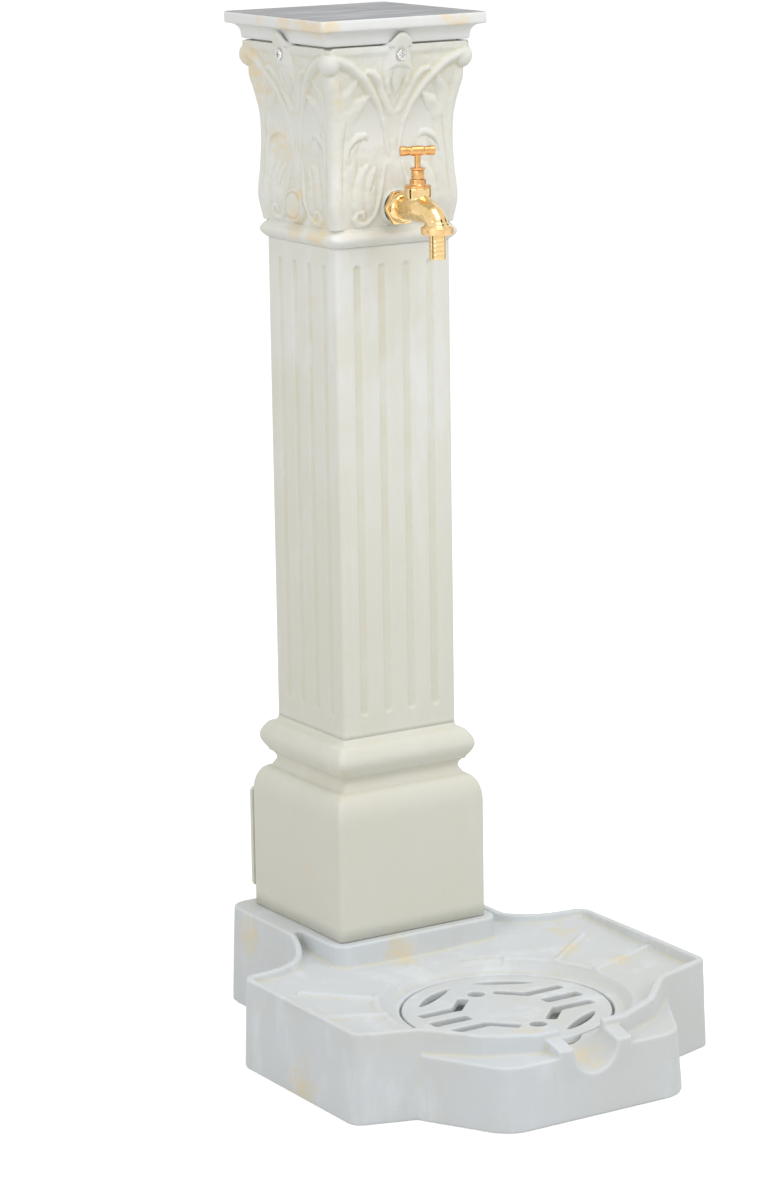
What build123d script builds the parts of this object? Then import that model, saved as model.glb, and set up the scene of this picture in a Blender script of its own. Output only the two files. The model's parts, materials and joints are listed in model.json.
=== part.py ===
from build123d import *
import os
from math import cos, radians, sin, sqrt, tan

# Garden standpipe: a cast water column with a brass bib tap, standing on a
# cast basin with a lift-out grate. Millimetres, +Z up, the tap faces -Y.
# The origin is the middle of the base's footprint, on the ground.

# Overall sizes
total_height = 930
base_width = 380
base_depth = 470

# General casting sizes
wall = 5
seat_gap = 0.3
thread_gap = 0.1
cut_over = 1
curve_steps = 6
overrun = 40

# Base casting
rim_height = 82
nose_height = 74
shelf_height = 58
pad_height = 91.6
pad_half = 88
pad_corner = 14
rear_half = 104
rear_corner = 22
sweep_radius = 63
wing_back = 79
wing_corner = 18
wing_front_corner = 13
wing_front = 47
rear_step_lead = 8
rear_step_run = 34
rim_knee_half = 129
rim_knee_drop = 18
rim_knee_round = 15
rim_shoulder_half = 92
rim_shoulder_drop = 54
rim_shoulder_round = 30
rim_nose_half = 48
rim_nose_drop = 74
rim_nose_round = 6
rim_width = 11
lobe_root_half = 143
lobe_root_drop = 3
lobe_front_half = 92
lobe_round = 34
lobe_root_round = 12
wall_draft = 2
lobe_draft = 4
rim_draft = 4

# Basin floor, its step, ribs and spout, about the grate's centre
grate_offset = 232
ring_radius = 105
step_radius = 113
step_height = 66
floor_edge_radius = 230
floor_edge_height = 76
fan_half_angle = 32
fan_radius = 138
fan_height = 70
rib_width = 6
rib_height = 1.8
rib_length = 74
rib_angles = (11, 33)
trough_radius = 22.5
trough_lip = 38.5
trough_start = 52
cheek_half = 38
cheek_top = 64

# Grate well, sump and grate
grate_radius = 94
grate_thick = 8
well_gap = 2.5
sump_radius = 86
sump_floor = 26
slot_edge = 2.5
slot_inner = 40
slot_outer = 79
slot_width = 13
hook_offset = 25
hook_width = 11
hook_outer = 76
hook_bend = 37
hook_end_x = 20
hook_end_y = 42
crescent_radius = 79
crescent_inner = 69
crescent_start = 36
crescent_end = 83
finger_offset = 50
finger_radius = 7.8

# Drain fitting
drain_thread_radius = 20.955
drain_bore = 17
drain_flange_radius = 29
drain_flange_thick = 3
drain_gasket_thick = 2
drain_nut_flats = 52
drain_nut_thick = 8
drain_clearance = 3
drain_relief_depth = 0.8
drain_relief_width = 1.2

# Column casting
column_setback = 96
column_gap = 0.2
plinth_half = 79
plinth_top = 204
shoulder_half = 67
shoulder_top = 228
neck_half = 62.5
neck_fillet_half = 65.5
fillet_ring = 2.5
torus_bottom = 245
torus_half = 74
torus_top = 270
shaft_half = 60.4
shaft_start = 277
shaft_top = 727
bead_half = 67
bead_height = 14
capital_foot = 743
capital_top = 904.4
shaft_inner_half = 55
capital_flare_z = 858
capital_flare_end = 884
capital_mouth_half = 70

# Flutes of the shaft
flute_count = 4
flute_pitch = 25.4
flute_half_width = 4
flute_depth = 1.7
flute_bottom = 297
flute_top = 710

# Capital: corner ribs, volute knobs, screw ears and rosettes
corner_rib = 13
relief_depth = 2.4
knob_radius = 10.5
knob_inset = 10
knob_drop = 12
ear_half_width = 18
ear_face = 77.7
ear_root = 70
ear_bottom = 878
ear_flat_bottom = 889
ear_flat_top = 902
ear_tip_lean = 3
ear_tip_thick = 2.2
ear_top = 915.5
rosette_radius = 14.5
rosette_face = 69.4

# Capital silhouette, as heights above its foot and half widths at the corners
capital_heights = (0, 22, 47, 74, 98, 120, 136, 152, 161.4)
capital_halves = (63.7, 66.9, 65.2, 64.1, 65.2, 69.2, 73.4, 75.6, 76)

# Top cap
slab_half = 86.3
slab_thick = 10.5
cap_bottom = 906
cap_foot_half = 75.2
cap_foot_rise = 7
cap_cove_half = 83.5
plug_depth = 20
plug_gap = 0.4
plug_wall = 4.5
cap_roof = 7

# Fasteners
cap_screw_z = 896
cap_screw_radius = 2.1
cap_screw_length = 14
screw_head_radius = 5
screw_head_thick = 3
screw_hole_gap = 0.15
recess_width = 1.2
recess_length = 5.2
recess_depth = 1.6
lug_size = 24
lug_height = 22
bolt_radius = 4
bolt_offset = 61
bolt_head_flats = 13
bolt_head_thick = 5.3
bolt_reach = 18
washer_radius = 8.5
washer_thick = 1.6

# Rear service cover of the plinth
cover_bottom = 108
cover_top = 205
cover_thick = 4
cover_round = 5
opening_half = 56
opening_bottom = 117
opening_top = 194
cover_screw_inset = 9
cover_screw_radius = 2
cover_screw_length = 9

# Water supply inside the column
inlet_z = 150
pipe_radius = 10.6
pipe_bore = 8
riser_setback = 46
socket_wall = 3.6
elbow_reach = 26
elbow_swell = 0.4
elbow_depth = 14
inlet_thread_radius = 9.3
inlet_thread_length = 15
inlet_body_radius = 15.3
inlet_flange_radius = 19
inlet_flange_thick = 3
inlet_gasket_thick = 1.8
inlet_nut_flats = 36
inlet_nut_thick = 6.5
inlet_end_gap = 1.5
inlet_socket_depth = 10
clip_z = 450
clip_height = 18
clip_wall = 3
clip_foot_half = 26
clip_foot_thick = 3
clip_hole_offset = 19
clip_boss_radius = 6
clip_boss_length = 8
clip_screw_radius = 2
clip_screw_length = 8

# Tap body, along its stem and spout
tap_z = 760.5
stem_offset = 33
spout_offset = 31
ball_rise = 5
ball_radius = 12.4
barrel_radius = 11.7
barrel_top = 780
neck_radius = 9.6
tail_radius = 10.48
tail_bore = 6
seat_z = 765.5
seat_bore = 4.6
chamber_radius = 8
bonnet_thread_radius = 9.5
spout_radius = 9.7
spout_bend = 11
spout_lean = 24
spout_bore = 4.9
spout_z = 749.6
spout_collar_height = 2
spout_thread_radius = 12.6
spout_thread_length = 3.2

# Wall nut, washers and back nut of the tap
wall_nut_flats = 29.6
wall_nut_thick = 5.4
wall_nut_dome = 4.8
wall_nut_nose = 11.6
wall_washer_thick = 1.4
back_nut_flats = 27
back_nut_thick = 6

# Headgear
bonnet_gasket_thick = 0.9
bonnet_flange_thick = 2.1
bonnet_skirt = 5
bonnet_neck_radius = 7.35
bonnet_neck_height = 5.4
bonnet_tube_radius = 4.2
bonnet_tube_height = 5.8
spindle_radius = 4.4
spindle_gap = 0.08
spindle_thread_top = 779
spindle_thread_room = 5
stem_radius = 2.8
stem_gap = 0.08
gland_flats = 10.8
gland_height = 8
gland_flange_radius = 6.4
gland_flange_height = 2.2
handle_z = 813.4
handle_length = 31
handle_hub_radius = 4.5
handle_hub_length = 10.4
handle_waist = 3.6
handle_end_radius = 4.4
handle_end_length = 6.5
handle_turn = -22
handle_pin_radius = 0.9
valve_disc_radius = 6.6
valve_disc_thick = 1.6
valve_stem_radius = 2
valve_stem_length = 6
valve_stem_gap = 0.08
valve_washer_thick = 2
valve_nut_radius = 3.2
valve_nut_thick = 1.5
valve_lift_gap = 0.3

# Hose union
union_radius = 14.6
union_height = 7.2
union_lip = 1.6
tail_flange_radius = 12
tail_flange_thick = 1.2
tail_washer_thick = 1.2
hose_radius = 7.4
hose_rib_depth = 0.7
hose_bore = 5
hose_end_z = 720.8
hose_ribs = 5

# Places worked out from the sizes
front_y = -base_depth / 2
rear_y = base_depth / 2
column_y = rear_y - column_setback
grate_y = column_y - grate_offset
wing_back_y = column_y - wing_back
wing_front_y = grate_y - wing_front
rear_step_y = wing_back_y + sweep_radius - rear_step_lead
well_radius = grate_radius + well_gap
ledge_z = shelf_height - grate_thick
pad_front_y = column_y - pad_half
wall_y = column_y - rosette_face
stem_y = wall_y - stem_offset
spout_y = stem_y - spout_offset
riser_y = wall_y + riser_setback
cover_y = column_y + plinth_half
ball_z = tap_z + ball_rise
column_foot = pad_height + column_gap
capital_inner_half = shaft_inner_half + (bead_half - shaft_half) / 2


def at(x, y, z):
    return Location((x, y, z))


def box(x0, x1, y0, y1, z0, z1):
    block = Box(x1 - x0, y1 - y0, z1 - z0)
    return at((x0 + x1) / 2, (y0 + y1) / 2, (z0 + z1) / 2) * block


def rod(x, y, z0, z1, radius):
    # A round bar standing along Z
    return at(x, y, (z0 + z1) / 2) * Cylinder(radius, z1 - z0)


def rod_y(x, y0, y1, z, radius):
    # A round bar lying along Y
    return at(x, (y0 + y1) / 2, z) * Rot(90, 0, 0) * Cylinder(radius, y1 - y0)


def hexagon(flats, height):
    # A hexagonal prism from z = 0, with a corner along +Y
    face = RegularPolygon(flats / 2, 6, major_radius=False, rotation=30)
    return extrude(face, height)


def solid_of(shape):
    # The one solid that a piece is made of
    return shape.solids().sort_by(SortBy.VOLUME)[-1]


def group_of(shapes):
    return Compound(children=[solid_of(shape) for shape in shapes])


def mirrored_outline(half_points, half_radii):
    # Right half from the rear to the front, then the same mirrored back
    points = list(half_points) + [(-x, y) for x, y in reversed(half_points)]
    radii = list(half_radii) + list(reversed(half_radii))
    line = FilletPolyline(*points, radius=radii, close=True)
    return make_face(line)


def drafted(outline, foot, height, draft):
    # An outline drawn upwards, its walls leaning in by the draft
    lean = height * tan(radians(draft))
    top = offset(outline, -lean)
    ends = [at(0, 0, foot) * outline.face(), at(0, 0, foot + height) * top.face()]
    return loft(ends, ruled=True)


def main_outline():
    points = (
        (rear_half, rear_y),
        (rear_half, wing_back_y),
        (base_width / 2, wing_back_y),
        (base_width / 2, wing_front_y),
        (rim_knee_half, wing_front_y - rim_knee_drop),
        (rim_shoulder_half, wing_front_y - rim_shoulder_drop),
        (rim_nose_half, wing_front_y - rim_nose_drop),
    )
    radii = (
        rear_corner,
        sweep_radius,
        wing_corner,
        wing_front_corner,
        rim_knee_round,
        rim_shoulder_round,
        rim_nose_round,
    )
    return mirrored_outline(points, radii)


def lobe_outline():
    points = (
        (lobe_root_half, grate_y),
        (lobe_root_half, wing_front_y - lobe_root_drop),
        (lobe_front_half, front_y),
    )
    return mirrored_outline(points, (0, lobe_root_round, lobe_round))


def side_prism(points, half_width):
    # A (y, z) outline drawn out along X to both sides
    face = make_face(Polyline(*[(0, y, z) for y, z in points], close=True))
    return extrude(face, half_width, dir=(1, 0, 0), both=True)


def trough_axis(y):
    # Height of the spout channel's axis at a place along Y
    start_y = grate_y - well_radius
    share = (start_y - y) / (start_y - front_y)
    return trough_start + trough_radius + share * (trough_lip - trough_start)


def trough_bar(radius, y0, y1):
    z0 = trough_axis(y0)
    z1 = trough_axis(y1)
    path = Line((0, y0, z0), (0, y1, z1))
    plane = Plane(origin=(0, y0, z0), z_dir=path % 0)
    return extrude(plane * Circle(radius), path.length)


def floor_cut():
    # Everything above the basin's floor, within the rim
    profile = (
        (0, shelf_height),
        (ring_radius, shelf_height),
        (step_radius, step_height),
        (floor_edge_radius, floor_edge_height),
        (floor_edge_radius, pad_height + overrun),
        (0, pad_height + overrun),
    )
    face = make_face(Polyline(*[(x, 0, z) for x, z in profile], close=True))
    space = at(0, grate_y, 0) * revolve(face, Axis.Z)
    fan_profile = (
        (0, shelf_height),
        (well_radius, shelf_height),
        (fan_radius, fan_height),
        (fan_radius, pad_height),
        (0, pad_height),
    )
    fan_face = make_face(Polyline(*[(x, 0, z) for x, z in fan_profile], close=True))
    fan = revolve(fan_face, Axis.Z, 2 * fan_half_angle)
    fan = at(0, grate_y, 0) * Rot(0, 0, 90 - fan_half_angle) * fan
    inner = offset(main_outline(), -rim_width)
    inside = drafted(inner, ledge_z, pad_height + overrun - ledge_z, -rim_draft)
    pad = box(-pad_half, pad_half, pad_front_y, rear_y, 0, pad_height + overrun)
    pad = fillet(pad.edges().filter_by(Axis.Z).group_by(Axis.Y)[0], pad_corner)
    rear = box(-base_width, base_width, wing_back_y + sweep_radius, rear_y, 0, pad_height + overrun)
    return (space + fan) & inside - pad - rear


def floor_rib(side, angle):
    # A raised rib running out from the step to the rim
    start = step_radius
    slope = (floor_edge_height - step_height) / (floor_edge_radius - step_radius)
    end_rise = slope * rib_length
    top = step_height + rib_height
    face = make_face(
        Polyline(
            (start, 0, step_height - wall / 2),
            (start + rib_length, 0, step_height + end_rise - wall / 2),
            (start + rib_length, 0, top + end_rise),
            (start + rib_height, 0, top),
            close=True,
        )
    )
    bar = extrude(face, rib_width / 2, dir=(0, 1, 0), both=True)
    turn = angle if side > 0 else 180 - angle
    return at(0, grate_y, 0) * Rot(0, 0, turn) * bar


def under_cut():
    # The open hollow under the casting, one wall inside its outer faces
    low_top = shelf_height - wall
    main = drafted(offset(main_outline(), -wall), 0, low_top, wall_draft)
    lobe = drafted(offset(lobe_outline(), -wall), 0, low_top, lobe_draft)
    inner_half = rear_half - wall - pad_height * sin(radians(wall_draft))
    room_y = wing_back_y + sweep_radius + rim_width
    rear = box(-inner_half, inner_half, room_y, rear_y - 2 * wall, 0, pad_height - wall)
    inset = pad_half - wall
    pad = box(-inset, inset, pad_front_y + wall, rear_y - 2 * wall, 0, pad_height - wall)
    hollow = main + lobe + rear + pad
    bosses = rod(0, grate_y, sump_floor - wall, shelf_height, sump_radius + wall)
    bosses += rod(0, grate_y, ledge_z - wall, shelf_height, well_radius + wall)
    bosses += trough_bar(trough_radius + wall, grate_y - sump_radius, front_y)
    return hollow - bosses


def rim_line_cut():
    # Everything above the rim in front of the raised rear block
    slope_end = wing_front_y - rim_nose_drop - rim_width
    return side_prism(
        (
            (rear_step_y, pad_height),
            (rear_step_y - rear_step_run, rim_height),
            (wing_front_y, rim_height),
            (slope_end, nose_height),
            (slope_end, pad_height + overrun),
            (rear_step_y, pad_height + overrun),
        ),
        base_width,
    )


def make_basin():
    body = drafted(main_outline(), 0, pad_height, wall_draft)
    body -= rim_line_cut()
    body += drafted(lobe_outline(), 0, shelf_height, lobe_draft)
    lip = front_y + wall / 2
    cheek_root = wing_front_y - rim_shoulder_drop
    body += side_prism(
        ((cheek_root, wall), (lip, wall), (lip, cheek_top), (cheek_root, nose_height)),
        cheek_half,
    )
    body -= floor_cut()
    pad = box(-pad_half, pad_half, pad_front_y, column_y, wall, pad_height)
    body += fillet(pad.edges().filter_by(Axis.Z).group_by(Axis.Y)[0], pad_corner)
    for side in (-1, 1):
        for angle in rib_angles:
            body += floor_rib(side, angle)
    body -= under_cut()
    body -= rod(0, grate_y, ledge_z, rim_height, well_radius)
    body -= rod(0, grate_y, sump_floor, shelf_height, sump_radius)
    body -= trough_bar(trough_radius, grate_y - sump_radius, front_y - overrun / 4)
    gap_y = grate_y - sump_radius
    body -= side_prism(
        (
            (gap_y, trough_axis(gap_y)),
            (front_y - overrun, trough_axis(front_y - overrun)),
            (front_y - overrun, rim_height + overrun),
            (gap_y, rim_height + overrun),
        ),
        trough_radius,
    )
    body -= rod(0, grate_y, 0, shelf_height, drain_thread_radius + thread_gap)
    for x, y in bolt_places():
        body -= rod(x, y, 0, pad_height + cut_over, bolt_radius + thread_gap * 2)
    return solid_of(body)


def bolt_places():
    signs = (-1, 1)
    return [(i * bolt_offset, column_y + j * bolt_offset) for i in signs for j in signs]


def slot(x0, x1, y, width):
    face = at((x0 + x1) / 2, y, 0) * RectangleRounded(abs(x1 - x0), width, slot_edge)
    return face


def make_grate():
    disc = Circle(grate_radius)
    holes = []
    for i in (-1, 1):
        holes.append(slot(i * slot_inner, i * slot_outer, 0, slot_width))
        holes.append(at(0, i * finger_offset, 0) * Circle(finger_radius))
        for j in (-1, 1):
            holes.append(slot(i * hook_bend, i * hook_outer, j * hook_offset, hook_width))
            run_x = hook_bend - hook_end_x
            run_y = hook_end_y - hook_offset
            length = sqrt(run_x**2 + run_y**2) + hook_width
            tilt = Edge.make_line((0, 0), (-i * run_x, j * run_y)).tangent_angle_at(0)
            middle_x = i * (hook_bend + hook_end_x) / 2
            middle_y = j * (hook_offset + hook_end_y) / 2
            leg = RectangleRounded(length, hook_width - slot_edge / 2, slot_edge)
            holes.append(at(middle_x, middle_y, 0) * Rot(0, 0, tilt) * leg)
            holes.append(crescent(i, j))
    plate = extrude(at(0, grate_y, ledge_z) * disc, grate_thick)
    for hole in holes:
        plate -= extrude(at(0, grate_y, ledge_z) * hole, grate_thick)
    return solid_of(plate)


def crescent(i, j):
    # A lens between the outer circle and a flatter inner arc
    def spot(radius, angle):
        return (i * radius * cos(radians(angle)), j * radius * sin(radians(angle)))

    middle = (crescent_start + crescent_end) / 2
    start = spot(crescent_radius, crescent_start)
    end = spot(crescent_radius, crescent_end)
    outer = ThreePointArc(start, spot(crescent_radius, middle), end)
    inner = ThreePointArc(end, spot(crescent_inner, middle), start)
    return make_face([outer, inner])


def make_drain_spigot():
    seat = sump_floor + drain_gasket_thick
    body = rod(0, grate_y, seat, seat + drain_flange_thick, drain_flange_radius)
    body += rod(0, grate_y, drain_clearance, seat, drain_thread_radius)
    body -= rod(0, grate_y, 0, seat + drain_flange_thick, drain_bore)
    nut_foot = sump_floor - wall - drain_nut_thick
    groove = rod(0, grate_y, nut_foot - drain_relief_width, nut_foot, drain_flange_radius)
    core = drain_thread_radius - drain_relief_depth
    groove -= rod(0, grate_y, 0, total_height, core)
    return solid_of(body - groove)


def make_drain_gasket():
    top = sump_floor + drain_gasket_thick
    ring = rod(0, grate_y, sump_floor, top, drain_flange_radius)
    return solid_of(ring - rod(0, grate_y, 0, top, drain_thread_radius + thread_gap))


def make_drain_nut():
    foot = sump_floor - wall - drain_nut_thick
    nut = at(0, grate_y, foot) * hexagon(drain_nut_flats, drain_nut_thick)
    return solid_of(nut - rod(0, grate_y, 0, shelf_height, drain_thread_radius + thread_gap))


def moulding(outline, centre_y):
    # A square column whose four faces all have the same (half, z) outline
    half = [spot for i, spot in enumerate(outline) if i == 0 or spot != outline[i - 1]]
    points = half + [(-h, z) for h, z in reversed(half)]
    face_x = make_face(Polyline(*[(h, 0, z) for h, z in points], close=True))
    face_y = make_face(Polyline(*[(0, h, z) for h, z in points], close=True))
    slab_x = extrude(face_x, slab_half, dir=(0, 1, 0), both=True)
    slab_y = extrude(face_y, slab_half, dir=(1, 0, 0), both=True)
    return at(0, centre_y, 0) * (slab_x & slab_y)


def arc_points(half_0, z_0, half_1, z_1, bulge):
    # Points on a half-wave between two places, swelling out by bulge
    points = []
    for i in range(curve_steps + 1):
        share = i / curve_steps
        swell = bulge * sin(radians(180 * share))
        half = half_0 + (half_1 - half_0) * share + swell
        points.append((half, z_0 + (z_1 - z_0) * share))
    return points


def quarter_points(half_0, z_0, half_1, z_1):
    # An ovolo: upright at its foot, flat at its top
    points = []
    for i in range(curve_steps + 1):
        turn = radians(90 * i / curve_steps)
        points.append((half_1 + (half_0 - half_1) * cos(turn), z_0 + (z_1 - z_0) * sin(turn)))
    return points


def make_column():
    lower = [(plinth_half, column_foot)]
    lower += quarter_points(plinth_half, plinth_top, shoulder_half, shoulder_top)
    lower += [(neck_fillet_half, shoulder_top), (neck_fillet_half, shoulder_top + fillet_ring)]
    scotia_top = torus_bottom - fillet_ring
    dip = neck_fillet_half - neck_half
    scotia_foot = shoulder_top + fillet_ring
    lower += arc_points(neck_fillet_half, scotia_foot, neck_fillet_half, scotia_top, -dip)
    torus_foot = shoulder_half + fillet_ring / 2
    torus_swell = torus_half - torus_foot
    lower += [(torus_foot, scotia_top)]
    lower += arc_points(torus_foot, torus_bottom, torus_foot, torus_top, torus_swell)
    lower += [(neck_half, torus_top + fillet_ring), (shaft_half, shaft_start)]
    lower += [(shaft_half, shaft_top)]
    bead_foot = neck_half
    bead_swell = bead_half - bead_foot
    bead_end = shaft_top + bead_height
    lower += arc_points(bead_foot, shaft_top, bead_foot, bead_end, bead_swell)
    body = moulding(lower + [(bead_foot, capital_foot)], column_y)
    face = [(h - relief_depth, capital_foot + z) for h, z in zip(capital_halves, capital_heights)]
    corner = [(h, capital_foot + z) for h, z in zip(capital_halves, capital_heights)]
    capital = moulding(face, column_y)
    ribs = moulding(corner, column_y)
    keep = slab_half - (capital_halves[0] - corner_rib)
    for i in (-1, 1):
        for j in (-1, 1):
            place = slab_half - keep / 2
            block = at(i * place, column_y + j * place, (capital_foot + capital_top) / 2)
            capital += ribs & (block * Box(keep, keep, capital_top - capital_foot))
    reach = capital_halves[-1] + screw_head_thick - knob_inset
    for i in (-1, 1):
        for j in (-1, 1):
            knob = at(i * reach, column_y + j * reach, capital_top - knob_drop)
            capital += knob * Sphere(knob_radius)
    for quarter in range(4):
        capital += about_column(quarter, ear_shape())
        capital += about_column(quarter, rosette())
    body += capital
    for quarter in range(4):
        for i in range(flute_count):
            x = (i - (flute_count - 1) / 2) * flute_pitch
            body -= about_column(quarter, flute(x))
    body -= column_hollow()
    for x, y in bolt_places():
        side = 1 if x > 0 else -1
        depth = 1 if y > column_y else -1
        centre = at(side * bolt_offset, column_y + depth * bolt_offset, column_foot + lug_height / 2)
        body += centre * Box(lug_size, lug_size, lug_height)
        body -= rod(x, y, 0, column_foot + bolt_reach + cut_over, bolt_radius + thread_gap)
    for i in (-1, 1):
        front = column_y - shaft_inner_half
        boss_end = front + clip_boss_length
        body += rod_y(i * clip_hole_offset, front - wall / 2, boss_end, clip_z, clip_boss_radius)
        hole = clip_screw_radius + thread_gap
        body -= rod_y(i * clip_hole_offset, front, boss_end, clip_z, hole)
    body -= box(-opening_half, opening_half, cover_y - overrun, cover_y, opening_bottom, opening_top)
    for x, z in cover_screw_places():
        depth = cover_screw_length
        body -= rod_y(x, cover_y - depth, cover_y, z, cover_screw_radius + thread_gap)
    for quarter in range(4):
        hole = rod_y(0, -slab_half, 0, cap_screw_z, cap_screw_radius + screw_hole_gap)
        body -= about_column(quarter, hole)
    body -= rod_y(0, wall_y - overrun, column_y, tap_z, tail_radius + thread_gap * 2)
    return solid_of(body)


def about_column(quarter, shape):
    # Turn a shape made for the front face round to another face
    return at(0, column_y, 0) * Rot(0, 0, 90 * quarter) * shape


def ear_shape():
    points = (
        (ear_root, ear_bottom - wall),
        (ear_face - wall, ear_bottom),
        (ear_face, ear_flat_bottom),
        (ear_face, ear_flat_top),
        (ear_face + ear_tip_lean, ear_top - ear_tip_thick / 2),
        (ear_face + ear_tip_lean - ear_tip_thick / 2, ear_top),
        (ear_face + ear_tip_lean - ear_tip_thick, ear_top - ear_tip_thick / 2),
        (cap_foot_half + seat_gap, cap_bottom),
        (cap_foot_half + seat_gap - wall, capital_top),
        (ear_root, capital_top),
    )
    leaf = make_face(Polyline(*[(0, -d, z) for d, z in points], close=True))
    leaf = extrude(leaf, ear_half_width, dir=(1, 0, 0), both=True)
    crown = rod_y(0, -slab_half, 0, ear_top - ear_half_width, ear_half_width)
    foot = box(-ear_half_width, ear_half_width, -slab_half, 0, 0, ear_top - ear_half_width)
    return leaf & (crown + foot)


def rosette():
    return rod_y(0, -rosette_face, -capital_inner_half, tap_z, rosette_radius)


def flute(x):
    # A shallow round-bottomed channel with rounded ends
    radius = (flute_half_width**2 + flute_depth**2) / (2 * flute_depth)
    depth = shaft_half - flute_depth + radius
    low = flute_bottom + flute_half_width
    high = flute_top - flute_half_width
    channel = rod(x, -depth, low, high, radius)
    ends = Pos(x, -depth, low) * Sphere(radius) + Pos(x, -depth, high) * Sphere(radius)
    return channel + ends


def column_hollow():
    # The open inside of the column: wide in the plinth and at the mouth
    inner = plinth_half - wall - cut_over
    room = box(-inner, inner, -inner, inner, column_foot, plinth_top - wall)
    shaft_inner = shaft_inner_half
    room += box(-shaft_inner, shaft_inner, -shaft_inner, shaft_inner, column_foot, capital_top)
    top_half = capital_inner_half
    room += box(-top_half, top_half, -top_half, top_half, capital_foot, capital_top)
    mouth = capital_mouth_half
    room += box(-mouth, mouth, -mouth, mouth, capital_flare_end, capital_top)
    throat = Plane.XY.offset(capital_flare_z) * Rectangle(2 * top_half, 2 * top_half)
    flare = Plane.XY.offset(capital_flare_end) * Rectangle(2 * mouth, 2 * mouth)
    room += loft([throat, flare], ruled=True)
    return at(0, column_y, 0) * room


def cover_screw_places():
    x = plinth_half - cover_screw_inset
    low = cover_bottom + cover_screw_inset
    high = cover_top - cover_screw_inset
    return [(i * x, z) for i in (-1, 1) for z in (low, high)]


def make_rear_cover():
    plate = box(-plinth_half, plinth_half, cover_y, cover_y + cover_thick, cover_bottom, cover_top)
    plate = fillet(plate.edges().filter_by(Axis.Y), cover_round)
    plate -= rod_y(0, cover_y, rear_y, inlet_z, inlet_body_radius + thread_gap)
    for x, z in cover_screw_places():
        plate -= rod_y(x, cover_y, rear_y, z, cover_screw_radius + screw_hole_gap)
    return solid_of(plate)


def cross_screw(shank_radius, shank_length):
    # A pan-head screw: seat at z = 0, head upwards, shank downwards
    head = extrude(Circle(screw_head_radius), screw_head_thick)
    head = fillet(head.edges().group_by(Axis.Z)[-1], screw_head_thick / 2)
    screw = head + rod(0, 0, -shank_length, 0, shank_radius)
    top = screw_head_thick
    for turn in (0, 90):
        arm = box(
            -recess_length / 2,
            recess_length / 2,
            -recess_width / 2,
            recess_width / 2,
            top - recess_depth,
            top,
        )
        screw -= Rot(0, 0, turn) * arm
    return screw


def make_rear_cover_screws():
    screw = Rot(-90, 0, 0) * cross_screw(cover_screw_radius, cover_screw_length)
    face = cover_y + cover_thick
    return group_of([at(x, face, z) * screw for x, z in cover_screw_places()])


def make_top_cap():
    slab_foot = total_height - slab_thick
    outline = [(cap_foot_half, cap_bottom)]
    cove_foot = cap_bottom + cap_foot_rise
    bend = (cap_cove_half - cap_foot_half) / 4
    outline += arc_points(cap_foot_half, cove_foot, cap_cove_half, slab_foot, -bend)
    outline += [(slab_half, slab_foot), (slab_half, total_height)]
    body = moulding(outline, column_y)
    outer = capital_mouth_half - plug_gap
    inner = outer - plug_wall
    plug = at(0, column_y, 0) * box(-outer, outer, -outer, outer, cap_bottom - plug_depth, cap_bottom)
    body += plug
    hollow = box(-inner, inner, -inner, inner, cap_bottom - plug_depth, total_height - cap_roof)
    body -= at(0, column_y, 0) * hollow
    for quarter in range(4):
        body -= about_column(quarter, ear_pocket())
        hole = rod_y(0, -slab_half, 0, cap_screw_z, cap_screw_radius + thread_gap)
        body -= about_column(quarter, hole)
    return solid_of(body)


def ear_pocket():
    # A shallow pocket in the cove where the leaf tip stands
    tip = ear_face + ear_tip_lean
    half = ear_half_width + seat_gap
    back = ear_face - ear_tip_thick + seat_gap
    return box(-half, half, -tip - seat_gap, -back + ear_tip_thick / 2, cap_bottom + cap_foot_rise,
               ear_top + seat_gap)


def make_cap_screws():
    screws = []
    for quarter in range(4):
        screw = Rot(90, 0, 0) * cross_screw(cap_screw_radius, cap_screw_length)
        screws.append(about_column(quarter, at(0, -ear_face, cap_screw_z) * screw))
    return group_of(screws)


def make_column_bolts():
    seat = pad_height - wall - washer_thick
    bolts = []
    for x, y in bolt_places():
        bolt = at(x, y, seat - bolt_head_thick) * hexagon(bolt_head_flats, bolt_head_thick)
        bolts.append(bolt + rod(x, y, seat, column_foot + bolt_reach, bolt_radius))
    return group_of(bolts)


def make_column_washers():
    top = pad_height - wall
    washers = []
    for x, y in bolt_places():
        washer = rod(x, y, top - washer_thick, top, washer_radius)
        washers.append(washer - rod(x, y, 0, top, bolt_radius + thread_gap))
    return group_of(washers)


def make_inlet_socket():
    flange_front = cover_y - inlet_gasket_thick - inlet_flange_thick
    end = rear_y - inlet_end_gap
    start = flange_front - inlet_socket_depth
    body = rod_y(0, start, end, inlet_z, inlet_body_radius)
    body += rod_y(0, flange_front, flange_front + inlet_flange_thick, inlet_z, inlet_flange_radius)
    body -= rod_y(0, end - inlet_thread_length, end, inlet_z, inlet_thread_radius)
    body -= rod_y(0, start, end, inlet_z, pipe_bore)
    body -= rod_y(0, start, start + inlet_socket_depth, inlet_z, pipe_radius + thread_gap)
    return solid_of(body)


def make_inlet_gasket():
    ring = rod_y(0, cover_y - inlet_gasket_thick, cover_y, inlet_z, inlet_flange_radius)
    return solid_of(ring - rod_y(0, 0, rear_y, inlet_z, inlet_body_radius + thread_gap))


def make_inlet_nut():
    face = cover_y + cover_thick
    nut = at(0, face, inlet_z) * Rot(-90, 0, 0) * hexagon(inlet_nut_flats, inlet_nut_thick)
    return solid_of(nut - rod_y(0, 0, rear_y, inlet_z, inlet_body_radius + thread_gap))


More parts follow.
